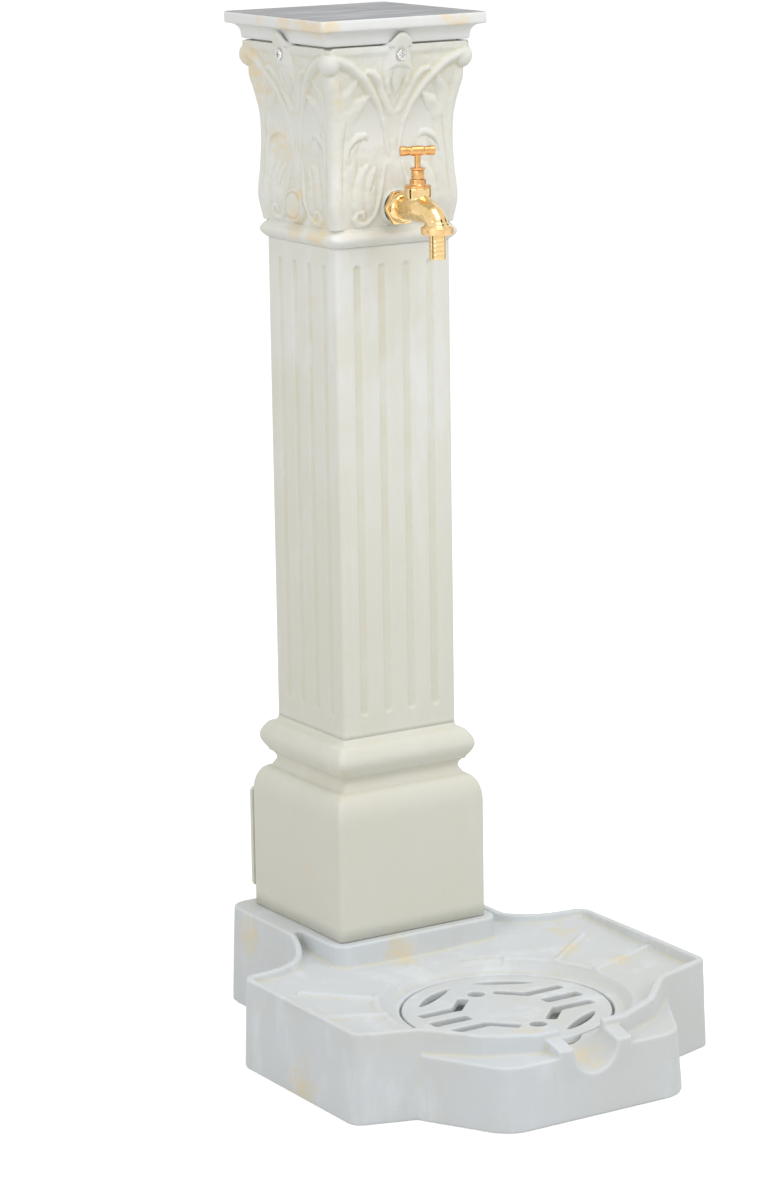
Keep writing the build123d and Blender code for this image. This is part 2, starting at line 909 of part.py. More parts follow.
def make_inlet_pipe():
    flange_front = cover_y - inlet_gasket_thick - inlet_flange_thick
    start = riser_y + elbow_reach - elbow_depth
    pipe = rod_y(0, start, flange_front - thread_gap, inlet_z, pipe_radius)
    return solid_of(pipe - rod_y(0, start, rear_y, inlet_z, pipe_bore))


def elbow(z, up, toward, side_radius):
    # A cast elbow with its corner on the riser's axis
    outer = pipe_radius + socket_wall
    shoulder = elbow_reach - elbow_depth
    body = Pos(0, riser_y, z) * Sphere(outer + elbow_swell)
    body += leg_up(z, up, 0, elbow_reach, outer)
    body += leg_along(z, toward, 0, elbow_reach, outer)
    body -= leg_up(z, up, -pipe_bore, elbow_reach, pipe_bore)
    body -= leg_along(z, toward, -pipe_bore, elbow_reach, pipe_bore)
    body -= leg_up(z, up, shoulder, elbow_reach, pipe_radius + thread_gap)
    body -= leg_along(z, toward, shoulder, elbow_reach, side_radius)
    return solid_of(body)


def leg_up(z, up, start, end, radius):
    ends = sorted((z + up * start, z + up * end))
    return rod(0, riser_y, ends[0], ends[1], radius)


def leg_along(z, toward, start, end, radius):
    ends = sorted((riser_y + toward * start, riser_y + toward * end))
    return rod_y(0, ends[0], ends[1], z, radius)


def make_lower_elbow():
    return elbow(inlet_z, 1, 1, pipe_radius + thread_gap)


def make_upper_elbow():
    return elbow(tap_z, -1, -1, tail_radius + thread_gap)


def make_riser_pipe():
    shoulder = elbow_reach - elbow_depth
    low = inlet_z + shoulder
    high = tap_z - shoulder
    pipe = rod(0, riser_y, low, high, pipe_radius)
    return solid_of(pipe - rod(0, riser_y, low, high, pipe_bore))


def make_pipe_clip():
    low = clip_z - clip_height / 2
    high = clip_z + clip_height / 2
    seat = column_y - shaft_inner_half + clip_boss_length
    body = rod(0, riser_y, low, high, pipe_radius + clip_wall)
    body += box(-pipe_radius / 2, pipe_radius / 2, seat, riser_y, low, high)
    body += box(-clip_foot_half, clip_foot_half, seat, seat + clip_foot_thick, low, high)
    body -= rod(0, riser_y, low, high, pipe_radius + thread_gap)
    for i in (-1, 1):
        hole = clip_screw_radius + screw_hole_gap
        body -= rod_y(i * clip_hole_offset, seat, seat + clip_foot_thick, clip_z, hole)
    return solid_of(body)


def make_pipe_clip_screws():
    face = column_y - shaft_inner_half + clip_boss_length + clip_foot_thick
    screw = Rot(-90, 0, 0) * cross_screw(clip_screw_radius, clip_screw_length)
    return group_of([at(i * clip_hole_offset, face, clip_z) * screw for i in (-1, 1)])


def spout_run(radius):
    # A straight run from the barrel, then a bend down to the outlet
    lean = radians(spout_lean)
    start_y = spout_y + spout_bend * (1 - sin(lean))
    start_z = spout_z + spout_bend * cos(lean)
    origin = (0, start_y, start_z)
    mouth = Plane(origin=origin, x_dir=(1, 0, 0), z_dir=(0, cos(lean), sin(lean))) * Circle(radius)
    run = extrude(mouth, (stem_y - start_y) / cos(lean))
    return run + revolve(mouth, Axis((0, spout_y + spout_bend, spout_z), (1, 0, 0)), 90 - spout_lean)


def make_tap_body():
    tail_end = riser_y - elbow_reach + elbow_depth
    body = Pos(0, stem_y, ball_z) * Sphere(ball_radius)
    body += rod(0, stem_y, ball_z, barrel_top, barrel_radius)
    nose = wall_y - wall_washer_thick - wall_nut_thick - wall_nut_dome
    body += rod_y(0, stem_y, nose, tap_z, neck_radius)
    body += rod_y(0, nose, tail_end, tap_z, tail_radius)
    body += spout_run(spout_radius)
    flange_top = spout_z + spout_collar_height
    body += rod(0, spout_y, spout_z - spout_thread_length, flange_top, spout_thread_radius)
    body -= rod(0, stem_y, seat_z, barrel_top, chamber_radius)
    thread_foot = barrel_top - bonnet_skirt - cut_over
    body -= rod(0, stem_y, thread_foot, barrel_top, bonnet_thread_radius + thread_gap)
    body -= rod(0, stem_y, tap_z, seat_z, seat_bore)
    body -= rod_y(0, stem_y, tail_end, tap_z, tail_bore)
    outlet_foot = spout_z - spout_thread_length
    body -= spout_run(spout_bore) + rod(0, spout_y, outlet_foot, spout_z, spout_bore)
    return solid_of(body)


def make_wall_nut():
    seat = wall_y - wall_washer_thick
    disc = hexagon(wall_nut_flats, wall_nut_thick)
    corner = wall_nut_flats / sqrt(3)
    bowl = extrude(Circle(corner - cut_over), wall_nut_thick)
    round_off = revolve(
        make_face(
            Polyline(
                (0, 0, 0),
                (corner, 0, 0),
                (corner, 0, wall_nut_thick - wall_nut_thick / 3),
                (wall_nut_flats / 2, 0, wall_nut_thick),
                (0, 0, wall_nut_thick),
                close=True,
            )
        ),
        Axis.Z,
    )
    disc = disc & (bowl + round_off)
    dome_points = quarter_points(wall_nut_flats / 2, wall_nut_thick, wall_nut_nose,
                                 wall_nut_thick + wall_nut_dome)
    dome_line = [(0, 0, wall_nut_thick)] + [(r, 0, z) for r, z in dome_points]
    dome_line += [(0, 0, wall_nut_thick + wall_nut_dome)]
    dome = revolve(make_face(Polyline(*dome_line, close=True)), Axis.Z)
    nut = at(0, seat, tap_z) * Rot(90, 0, 0) * (disc + dome)
    nut -= rod_y(0, 0, rear_y, tap_z, tail_radius + thread_gap)
    return solid_of(nut)


def make_wall_washer():
    ring = rod_y(0, wall_y - wall_washer_thick, wall_y, tap_z, wall_nut_flats / 2)
    return solid_of(ring - rod_y(0, 0, rear_y, tap_z, tail_radius + thread_gap))


def make_back_washer():
    face = column_y - capital_inner_half
    ring = rod_y(0, face, face + wall_washer_thick, tap_z, back_nut_flats / 2 + cut_over)
    return solid_of(ring - rod_y(0, 0, rear_y, tap_z, tail_radius + thread_gap))


def make_back_nut():
    face = column_y - capital_inner_half + wall_washer_thick
    nut = at(0, face, tap_z) * Rot(-90, 0, 0) * hexagon(back_nut_flats, back_nut_thick)
    return solid_of(nut - rod_y(0, 0, rear_y, tap_z, tail_radius + thread_gap))


def make_bonnet_gasket():
    top = barrel_top + bonnet_gasket_thick
    ring = rod(0, stem_y, barrel_top, top, barrel_radius)
    return solid_of(ring - rod(0, stem_y, barrel_top, top, bonnet_thread_radius + thread_gap))


def make_bonnet():
    flange_foot = barrel_top + bonnet_gasket_thick
    neck_foot = flange_foot + bonnet_flange_thick
    tube_foot = neck_foot + bonnet_neck_height
    tube_top = tube_foot + bonnet_tube_height
    skirt_foot = barrel_top - bonnet_skirt
    body = rod(0, stem_y, skirt_foot, flange_foot, bonnet_thread_radius)
    body += rod(0, stem_y, flange_foot, neck_foot, barrel_radius)
    body += rod(0, stem_y, neck_foot, tube_foot, bonnet_neck_radius)
    body += rod(0, stem_y, tube_foot, tube_top, bonnet_tube_radius)
    room_top = spindle_thread_top + spindle_thread_room
    body -= rod(0, stem_y, skirt_foot, room_top, spindle_radius + spindle_gap)
    body -= rod(0, stem_y, skirt_foot, tube_top, stem_radius + stem_gap)
    return solid_of(body)


def gland_foot():
    return barrel_top + bonnet_gasket_thick + bonnet_flange_thick + bonnet_neck_height


def make_gland_nut():
    foot = gland_foot()
    flange = foot + gland_height
    body = at(0, stem_y, foot) * hexagon(gland_flats, gland_height)
    body += rod(0, stem_y, flange, flange + gland_flange_height, gland_flange_radius)
    body -= rod(0, stem_y, foot, flange, bonnet_tube_radius + thread_gap)
    body -= rod(0, stem_y, foot, total_height, stem_radius + stem_gap)
    return solid_of(body)


def make_gland_packing():
    top = gland_foot() + gland_height
    foot = top - (gland_height - bonnet_tube_height)
    ring = rod(0, stem_y, foot, top, bonnet_tube_radius)
    return solid_of(ring - rod(0, stem_y, foot, top, stem_radius + stem_gap))


def valve_top():
    return seat_z + valve_washer_thick + valve_disc_thick


def make_spindle():
    foot = valve_top() + valve_lift_gap
    body = rod(0, stem_y, foot, spindle_thread_top, spindle_radius)
    body += rod(0, stem_y, spindle_thread_top, handle_z + stem_radius, stem_radius)
    hole_top = valve_top() + valve_stem_length + valve_lift_gap
    body -= rod(0, stem_y, foot, hole_top, valve_stem_radius + valve_stem_gap)
    body -= handle_pin_bar(thread_gap / 2)
    return solid_of(body)


def handle_pin_bar(gap):
    bar = rod_y(0, -handle_hub_radius, handle_hub_radius, 0, handle_pin_radius + gap)
    return at(0, stem_y, handle_z) * Rot(0, 0, handle_turn) * bar


def make_handle():
    half = handle_length / 2
    hub = handle_hub_length / 2
    waist_end = half - handle_end_length
    outline = (
        (0, 0),
        (handle_hub_radius, 0),
        (handle_hub_radius, hub - cut_over),
        (handle_end_radius - cut_over / 2, hub),
        (handle_waist, (hub + waist_end) / 2),
        (handle_end_radius, waist_end + handle_end_length / 2),
        (handle_end_radius, half - cut_over),
        (handle_end_radius - cut_over, half),
        (0, half),
    )
    face = make_face(Polyline(*[(r, 0, z) for r, z in outline], close=True))
    bar = revolve(face, Axis.Z)
    bar += mirror(bar, about=Plane.XY)
    bar = at(0, stem_y, handle_z) * Rot(0, 0, handle_turn) * Rot(0, 90, 0) * bar
    bar -= rod(0, stem_y, 0, handle_z + stem_radius, stem_radius + thread_gap / 2)
    bar -= handle_pin_bar(thread_gap / 2)
    return solid_of(bar)


def make_handle_pin():
    return solid_of(handle_pin_bar(0))


def make_valve_disc():
    foot = seat_z + valve_washer_thick
    body = rod(0, stem_y, foot, valve_top(), valve_disc_radius)
    body += rod(0, stem_y, foot, valve_top() + valve_stem_length, valve_stem_radius)
    body += rod(0, stem_y, seat_z - valve_nut_thick, foot, valve_stem_radius)
    return solid_of(body)


def make_valve_washer():
    top = seat_z + valve_washer_thick
    ring = rod(0, stem_y, seat_z, top, valve_disc_radius)
    return solid_of(ring - rod(0, stem_y, seat_z, top, valve_stem_radius + thread_gap))


def make_valve_nut():
    nut = rod(0, stem_y, seat_z - valve_nut_thick, seat_z, valve_nut_radius)
    return solid_of(nut - rod(0, stem_y, 0, seat_z, valve_stem_radius + thread_gap))


def union_foot():
    return spout_z - union_height


def make_union_nut():
    foot = union_foot()
    body = rod(0, spout_y, foot, spout_z - seat_gap, union_radius)
    body -= rod(0, spout_y, foot + union_lip, spout_z, spout_thread_radius + thread_gap)
    body -= rod(0, spout_y, 0, spout_z, hose_radius + seat_gap)
    return solid_of(body)


def tail_flange_top():
    return spout_z - spout_thread_length - tail_washer_thick


def make_hose_tail():
    top = tail_flange_top()
    flange_foot = top - tail_flange_thick
    neck = union_foot() - cut_over
    outline = [(hose_bore, 0, top), (tail_flange_radius, 0, top)]
    outline += [(tail_flange_radius, 0, flange_foot), (hose_radius, 0, flange_foot)]
    outline += [(hose_radius, 0, neck)]
    pitch = (neck - hose_end_z) / hose_ribs
    for i in range(hose_ribs):
        crest = neck - pitch * (i + 1 / 4)
        outline += [(hose_radius - hose_rib_depth, 0, neck - pitch * i)]
        outline += [(hose_radius, 0, crest)]
    outline += [(hose_radius - hose_rib_depth, 0, hose_end_z), (hose_bore, 0, hose_end_z)]
    return solid_of(at(0, spout_y, 0) * revolve(make_face(Polyline(*outline, close=True)), Axis.Z))


def make_hose_washer():
    foot = tail_flange_top()
    ring = rod(0, spout_y, foot, foot + tail_washer_thick, tail_flange_radius)
    return solid_of(ring - rod(0, spout_y, foot, spout_z, hose_bore))


pieces = {
    "basin_casting": make_basin,
    "grate": make_grate,
    "drain_spigot": make_drain_spigot,
    "drain_gasket": make_drain_gasket,
    "drain_lock_nut": make_drain_nut,
    "column_casting": make_column,
    "rear_cover": make_rear_cover,
    "rear_cover_screws": make_rear_cover_screws,
    "top_cap": make_top_cap,
    "cap_screws": make_cap_screws,
    "column_bolts": make_column_bolts,
    "column_bolt_washers": make_column_washers,
    "inlet_socket": make_inlet_socket,
    "inlet_gasket": make_inlet_gasket,
    "inlet_lock_nut": make_inlet_nut,
    "inlet_pipe": make_inlet_pipe,
    "lower_elbow": make_lower_elbow,
    "riser_pipe": make_riser_pipe,
    "upper_elbow": make_upper_elbow,
    "pipe_clip": make_pipe_clip,
    "pipe_clip_screws": make_pipe_clip_screws,
    "tap_body": make_tap_body,
    "wall_nut": make_wall_nut,
    "wall_washer": make_wall_washer,
    "back_washer": make_back_washer,
    "back_nut": make_back_nut,
    "bonnet_gasket": make_bonnet_gasket,
    "bonnet": make_bonnet,
    "gland_nut": make_gland_nut,
    "gland_packing": make_gland_packing,
    "spindle": make_spindle,
    "t_handle": make_handle,
    "handle_pin": make_handle_pin,
    "valve_disc": make_valve_disc,
    "valve_washer": make_valve_washer,
    "valve_washer_nut": make_valve_nut,
    "union_nut": make_union_nut,
    "hose_tail": make_hose_tail,
    "hose_washer": make_hose_washer,
}

os.makedirs("parts", exist_ok=True)
for name, make in pieces.items():
    shape = make()
    shape.label = name
    export_step(shape, f"parts/{name}.step")
    print(name, len(shape.solids()), round(shape.volume))
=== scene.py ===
import json
import math
import bmesh
import bpy
from mathutils import Matrix, Vector, noise


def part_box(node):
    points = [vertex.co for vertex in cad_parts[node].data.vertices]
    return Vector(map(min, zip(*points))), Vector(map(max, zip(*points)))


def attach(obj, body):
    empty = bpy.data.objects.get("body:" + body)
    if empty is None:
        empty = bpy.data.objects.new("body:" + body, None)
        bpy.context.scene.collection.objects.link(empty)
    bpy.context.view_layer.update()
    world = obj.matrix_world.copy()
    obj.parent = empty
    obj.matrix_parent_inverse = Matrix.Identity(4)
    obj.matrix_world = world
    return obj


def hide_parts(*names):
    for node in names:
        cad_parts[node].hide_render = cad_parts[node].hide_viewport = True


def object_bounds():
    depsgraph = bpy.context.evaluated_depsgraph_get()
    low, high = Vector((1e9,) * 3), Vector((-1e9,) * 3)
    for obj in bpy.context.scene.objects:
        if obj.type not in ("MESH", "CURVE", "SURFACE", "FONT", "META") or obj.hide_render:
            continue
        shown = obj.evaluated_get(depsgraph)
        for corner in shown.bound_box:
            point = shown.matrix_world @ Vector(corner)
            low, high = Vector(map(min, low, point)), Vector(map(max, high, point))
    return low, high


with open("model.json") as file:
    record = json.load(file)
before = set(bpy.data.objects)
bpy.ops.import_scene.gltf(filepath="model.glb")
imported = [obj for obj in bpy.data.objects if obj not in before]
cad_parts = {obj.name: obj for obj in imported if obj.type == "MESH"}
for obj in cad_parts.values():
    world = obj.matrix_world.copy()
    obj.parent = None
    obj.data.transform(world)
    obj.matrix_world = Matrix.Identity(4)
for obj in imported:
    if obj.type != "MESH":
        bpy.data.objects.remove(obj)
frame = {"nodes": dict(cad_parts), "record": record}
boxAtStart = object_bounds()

mm = 0.001
weldGap, fineGap = 0.01 * mm, 0.001 * mm
columnY = 139 * mm
grateY = -93 * mm
print("frame loaded:", len(frame["nodes"]), "nodes")


# Shader maths: a wire is one output socket, and plus or times on wires adds a Math node

class Wire:
    def __init__(self, finish, socket):
        self.finish = finish
        self.socket = socket

    def math(self, operation, other):
        return self.finish.node("ShaderNodeMath", {"operation": operation}, {0: self, 1: other})

    def __add__(self, other):
        return self.math("ADD", other)

    def __mul__(self, other):
        return self.math("MULTIPLY", other)

    __radd__ = __add__
    __rmul__ = __mul__


class Finish:
    def __init__(self, name):
        self.material = bpy.data.materials.new(name)
        self.material.use_nodes = True
        self.tree = self.material.node_tree
        self.tree.nodes.clear()
        self.place = self.node("ShaderNodeTexCoord", out="Object")

    def node(self, kind, settings=None, values=None, out=0):
        made = self.tree.nodes.new(kind)
        for key, value in (settings or {}).items():
            setattr(made, key, value)
        for key, value in (values or {}).items():
            if isinstance(value, Wire):
                self.tree.links.new(value.socket, made.inputs[key])
            else:
                made.inputs[key].default_value = value
        return Wire(self, made.outputs[out]) if made.outputs else made

    def noise(self, scale, detail, roughness, stretch=None, move=(0, 0, 0)):
        place = self.place
        if stretch:
            mapping = {"Vector": place, "Scale": stretch, "Location": move}
            place = self.node("ShaderNodeMapping", values=mapping)
        values = {"Vector": place, "Scale": scale, "Detail": detail, "Roughness": roughness}
        return self.node("ShaderNodeTexNoise", values=values, out="Fac")

    def step(self, wire, low, high):
        settings = {"interpolation_type": "SMOOTHSTEP"}
        values = {"Value": wire, "From Min": low, "From Max": high}
        return self.node("ShaderNodeMapRange", settings, values)

    def blend(self, factor, first, second):
        made = self.tree.nodes.new("ShaderNodeMix")
        made.data_type = "RGBA"
        for index, value in ((0, factor), (6, first), (7, second)):
            if isinstance(value, Wire):
                self.tree.links.new(value.socket, made.inputs[index])
            elif index == 0:
                made.inputs[index].default_value = value
            else:
                made.inputs[index].default_value = (*value, 1)
        return Wire(self, made.outputs[2])

    def near(self, spot, reach):
        # One at a place in metres, fading to nothing at the reach
        away = self.node("ShaderNodeVectorMath", {"operation": "DISTANCE"}, {0: self.place, 1: spot}, out="Value")
        return self.step(away, reach, 0)

    def bump(self, height, strength, distance, under=None):
        values = {"Height": height, "Strength": strength, "Distance": distance}
        if under:
            values["Normal"] = under
        return self.node("ShaderNodeBump", values=values)

    def close(self, **values):
        names = {"baseColor": "Base Color", "roughness": "Roughness", "metallic": "Metallic",
                 "normal": "Normal", "specular": "Specular IOR Level"}
        shader = self.node("ShaderNodeBsdfPrincipled", values={names[k]: v for k, v in values.items()})
        self.node("ShaderNodeOutputMaterial", values={"Surface": shader})
        return self.material


# Finishes

castPaint = {
    "column": {
        "paint": (0.80, 0.80, 0.735), "shade": (0.77, 0.76, 0.665), "cream": (0.73, 0.69, 0.53),
        "stain": (0.87, 0.70, 0.42), "pale": (0.86, 0.87, 0.845), "stainAmount": 0.4, "creamAmount": 0.75,
        "spots": (((-0.062, 0.062, 0.872), 0.016), ((-0.064, 0.064, 0.846), 0.02), ((-0.058, 0.064, 0.858), 0.014),
                  ((-0.075, 0.14, 0.745), 0.03), ((-0.075, 0.1, 0.738), 0.034), ((-0.07, 0.128, 0.77), 0.014),
                  ((-0.075, 0.195, 0.86), 0.03), ((-0.078, 0.2, 0.888), 0.03), ((-0.07, 0.17, 0.815), 0.03),
                  ((0.044, 0.062, 0.848), 0.016), ((-0.02, 0.062, 0.75), 0.02), ((-0.07, 0.07, 0.24), 0.03)),
        # Painted shade: the tone the column fades to towards the bottom, where less light reaches
        "low": (0.67, 0.66, 0.565), "lowShadeFrom": 0.66, "lowShadeTo": 0.1, "lowShadeAmount": 0.75,
    },
    "base": {
        "paint": (0.655, 0.685, 0.705), "shade": (0.64, 0.655, 0.635), "cream": (0.66, 0.635, 0.50),
        "stain": (0.74, 0.64, 0.42), "pale": (0.74, 0.775, 0.80), "stainAmount": 0.25, "creamAmount": 0.7,
        "spots": (((-0.06, -0.17, 0.045), 0.045), ((-0.1, 0.19, 0.07), 0.035), ((-0.09, -0.18, 0.005), 0.03),
                  ((0.11, -0.19, 0.004), 0.05), ((-0.19, -0.05, 0.004), 0.05), ((-0.02, 0.05, 0.075), 0.03),
                  ((0.126, -0.012, 0.074), 0.02), ((0.112, -0.02, 0.074), 0.016), ((0.14, -0.066, 0.074), 0.022),
                  ((0.145, 0.03, 0.08), 0.03), ((0.0, -0.21, 0.05), 0.035), ((-0.02, -0.16, 0.062), 0.03)),
    },
    "cap": {
        "paint": (0.84, 0.85, 0.84), "shade": (0.81, 0.81, 0.775), "cream": (0.73, 0.70, 0.57),
        "stain": (0.89, 0.71, 0.43), "pale": (0.85, 0.87, 0.87), "stainAmount": 0.3, "creamAmount": 0.5,
        "spots": (((-0.086, 0.09, 0.926), 0.02), ((-0.086, 0.118, 0.925), 0.02), ((-0.086, 0.07, 0.922), 0.026),
                  ((-0.075, 0.053, 0.928), 0.018), ((0.045, 0.053, 0.926), 0.016), ((0.06, 0.053, 0.922), 0.014),
                  ((-0.086, 0.16, 0.928), 0.014)),
        "top": (0.30, 0.305, 0.315), "topLight": (0.44, 0.44, 0.445), "topLevel": 0.9296,
    },
}


# Each noise as scale, detail, roughness, stretch and move, and each step as low and high
castNoise = {
    "broad": (9, 3, 0.55), "drift": (26, 4, 0.6, (1, 1, 0.35), (0.3, 0.1, 0.2)),
    "brushed": (120, 3, 0.6, (1, 1, 0.12)), "patches": (34, 4, 0.6, (1, 1, 0.7), (0.7, 0.4, 0.9)),
    "dabs": (30, 3, 0.62, (1, 1, 1.6), (2.1, 0.6, 1.3)), "gate": (7, 2, 0.5, (1, 1, 1), (4.2, 1.1, 3.3)),
    "ragged": (85, 4, 0.65, (1, 1, 1.5), (1.3, 2.2, 0.4)),
    "swept": (30, 5, 0.65, (0.35, 1.6, 1), (0.4, 0.2, 0.1)),
    "grain": (900, 4, 0.65), "lumps": (150, 3, 0.5), "rough": (60, 3, 0.6),
}
castStep = {
    "broad": (0.35, 0.68), "drift": (0.5, 0.72), "brushed": (0.5, 0.75), "patches": (0.4, 0.62),
    "dabs": (0.6, 0.72), "gate": (0.5, 0.62), "ragged": (0.5, 0.95), "swept": (0.42, 0.66),
    "hollow": (0.497, 0.475), "ridge": (0.503, 0.53), "spots": (0, 0.6),
}
# The ridge amount sets how much pale tone goes on ridges, a painted highlight
castAmount = {"drift": 0.75, "brushed": 0.22, "patchLow": 0.35, "patchMore": 0.65, "ridge": 0.35,
              "spotPull": 0.3, "spots": 0.75, "topEdge": 0.0002, "rough": 0.5, "roughMore": 0.22,
              "lumps": (0.25, 0.0012), "grain": (0.22, 0.0004), "specular": 0.35}


def makeCastPaint(name, look):
    f = Finish(name)
    amount = castAmount

    def mask(kind, wire=None):
        return f.step(wire or f.noise(*castNoise[kind]), *castStep[kind])

    colour = f.blend(mask("broad"), look["paint"], look["shade"])
    colour = f.blend(mask("drift") * amount["drift"], colour, look["pale"])
    colour = f.blend(mask("brushed") * amount["brushed"], colour, look["shade"])
    point = f.node("ShaderNodeNewGeometry", out="Pointiness")
    patches = amount["patchLow"] + amount["patchMore"] * mask("patches")
    # Hollows take the cream tone: partly cream paint lying in them, partly painted shade where light reaches less
    colour = f.blend(mask("hollow", point) * patches * look["creamAmount"], colour, look["cream"])
    # Ridges take the pale tone as a painted highlight
    colour = f.blend(mask("ridge", point) * amount["ridge"], colour, look["pale"])
    stain = mask("dabs") * mask("gate") * look["stainAmount"]
    rubbed = 0
    for spot, reach in look["spots"]:
        rubbed = f.near(spot, reach) + rubbed
    ragged = mask("ragged", f.noise(*castNoise["ragged"]) + amount["spotPull"] * rubbed)
    stain = stain + ragged * mask("spots", rubbed) * amount["spots"]
    colour = f.blend(f.node("ShaderNodeClamp", values={0: stain}), colour, look["stain"])
    # Darker and creamier towards the bottom: painted shade for the weaker light on the lower part
    if "low" in look:
        height = f.node("ShaderNodeSeparateXYZ", values={0: f.place}, out="Z")
        fade = f.step(height, look["lowShadeFrom"], look["lowShadeTo"])
        colour = f.blend(fade * look["lowShadeAmount"], colour, look["low"])
    if "top" in look:
        height = f.node("ShaderNodeSeparateXYZ", values={0: f.place}, out="Z")
        upper = f.blend(mask("swept"), look["top"], look["topLight"])
        level = look["topLevel"]
        colour = f.blend(f.step(height, level - amount["topEdge"], level), colour, upper)
    normal = f.bump(f.noise(*castNoise["lumps"]), *amount["lumps"])
    normal = f.bump(f.noise(*castNoise["grain"]), *amount["grain"], normal)
    rough = amount["rough"] + amount["roughMore"] * f.noise(*castNoise["rough"])
    return f.close(baseColor=colour, roughness=rough, normal=normal, specular=amount["specular"])


metals = {
    "polishedBrass": {"tone": (0.88, 0.65, 0.33), "deep": (0.82, 0.56, 0.24), "low": 0.06, "high": 0.13,
                      "bump": 0.02},
    "satinBrass": {"tone": (0.80, 0.47, 0.20), "deep": (0.68, 0.36, 0.12), "low": 0.24, "high": 0.38,
                   "bump": 0.08},
    "paleBrass": {"tone": (0.90, 0.64, 0.34), "deep": (0.84, 0.56, 0.26), "low": 0.34, "high": 0.46, "bump": 0.06},
    "plainBrass": {"tone": (0.70, 0.52, 0.26), "deep": (0.52, 0.36, 0.15), "low": 0.3, "high": 0.5, "bump": 0.08},
    "brightSteel": {"tone": (0.74, 0.74, 0.73), "deep": (0.52, 0.52, 0.52), "low": 0.2, "high": 0.34,
                    "bump": 0.04},
    "zincSteel": {"tone": (0.56, 0.58, 0.59), "deep": (0.42, 0.44, 0.46), "low": 0.35, "high": 0.55, "bump": 0.1},
}


metalNoise = {"cloud": (160, 4, 0.6), "scuff": (900, 3, 0.6, (1, 1, 0.3)), "dents": (700, 3, 0.5),
              "cloudStep": (0.4, 0.7), "scuffStep": (0.3, 0.75), "dentDepth": 0.0003}


def makeMetal(name, look):
    f = Finish(name)
    n = metalNoise
    cloud = f.step(f.noise(*n["cloud"]), *n["cloudStep"])
    scuff = f.step(f.noise(*n["scuff"]), *n["scuffStep"])
    colour = f.blend(cloud, look["tone"], look["deep"])
    rough = look["low"] + (look["high"] - look["low"]) * scuff
    normal = f.bump(f.noise(*n["dents"]), look["bump"], n["dentDepth"])
    return f.close(baseColor=colour, roughness=rough, metallic=1.0, normal=normal)


plains = {
    "sealRubber": {"tone": (0.028, 0.028, 0.028), "light": (0.05, 0.05, 0.048), "rough": 0.7, "scale": 400},
    "drainPlastic": {"tone": (0.13, 0.13, 0.135), "light": (0.17, 0.17, 0.175), "rough": 0.5, "scale": 250},
}


plainNoise = {"speck": (3, 0.6), "speckStep": (0.35, 0.7), "bump": (0.1, 0.0003), "roughMore": 0.15}


def makePlain(name, look):
    f = Finish(name)
    n = plainNoise
    speck = f.noise(look["scale"], *n["speck"])
    colour = f.blend(f.step(speck, *n["speckStep"]), look["tone"], look["light"])
    normal = f.bump(speck, *n["bump"])
    return f.close(baseColor=colour, roughness=look["rough"] + n["roughMore"] * speck, normal=normal)


finishes = {
    "cast_column": makeCastPaint("ivoryColumnPaint", castPaint["column"]),
    "cast_base": makeCastPaint("ivoryBasePaint", castPaint["base"]),
    "cast_cap": makeCastPaint("ivoryCapPaint", castPaint["cap"]),
    "bright_screw": makeMetal("brightScrewSteel", metals["brightSteel"]),
    "zinc_steel": makeMetal("galvanisedSteel", metals["zincSteel"]),
    "polished_brass": makeMetal("polishedBrass", metals["polishedBrass"]),
    "satin_brass": makeMetal("satinBrass", metals["satinBrass"]),
    "plain_brass": makeMetal("plainBrass", metals["plainBrass"]),
    "pin_steel": makeMetal("pinSteel", metals["zincSteel"]),
    "seal_rubber": makePlain("sealRubber", plains["sealRubber"]),
    "drain_plastic": makePlain("drainPlastic", plains["drainPlastic"]),
    "pale_brass": makeMetal("paleBrass", metals["paleBrass"]),
}

slotOf = {s["node"]: s["material_slot"] for s in frame["record"]["subparts"]}
for node, thing in frame["nodes"].items():
    thing.data.materials.clear()
    thing.data.materials.append(finishes[slotOf[node]])
print("finishes made:", len(finishes))


# Helpers for pieces

def linked(name, data):
    thing = bpy.data.objects.new(name, data)
    bpy.context.scene.collection.objects.link(thing)
    return thing


def meshOf(name, bm):
    mesh = bpy.data.meshes.new(name)
    bm.to_mesh(mesh)
    bm.free()
    return mesh


def addPiece(name, bm, finish, body, nodes):
    dressPiece(name, meshOf(name, bm), finish, body, nodes)


def dressPiece(name, mesh, finish, body, nodes):
    mesh.name = name
    for face in mesh.polygons:
        face.use_smooth = True
    thing = linked(name, mesh)
    mesh.materials.clear()
    mesh.materials.append(finishes[finish])
    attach(thing, body)
    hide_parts(*nodes)
    print("piece", name, len(mesh.polygons), "faces")


def vertsIn(geom):
    return [g for g in geom if isinstance(g, bmesh.types.BMVert)]


def easeStep(value, low, high):
    t = min(max((value - low) / (high - low), 0), 1)
    return t * t * (3 - 2 * t)


def unevenAt(spot, sizes):
    # A slow swell and a finer one, as hand-finished castings have
    slow = noise.noise(spot * sizes["slowScale"])
    fine = noise.noise(spot * sizes["fineScale"] + Vector((7, 3, 5)))
    return slow * sizes["slow"] + fine * sizes["fine"]


def worked(mesh, kind, **settings):
    # The mesh after one modifier, as a new mesh
    thing = linked("raw", mesh)
    modifier = thing.modifiers.new("work", kind)
    for key, value in settings.items():
        setattr(modifier, key, value)
    bpy.context.view_layer.update()
    ready = thing.evaluated_get(bpy.context.evaluated_depsgraph_get())
    made = bpy.data.meshes.new_from_object(ready)
    bpy.data.objects.remove(thing)
    return made


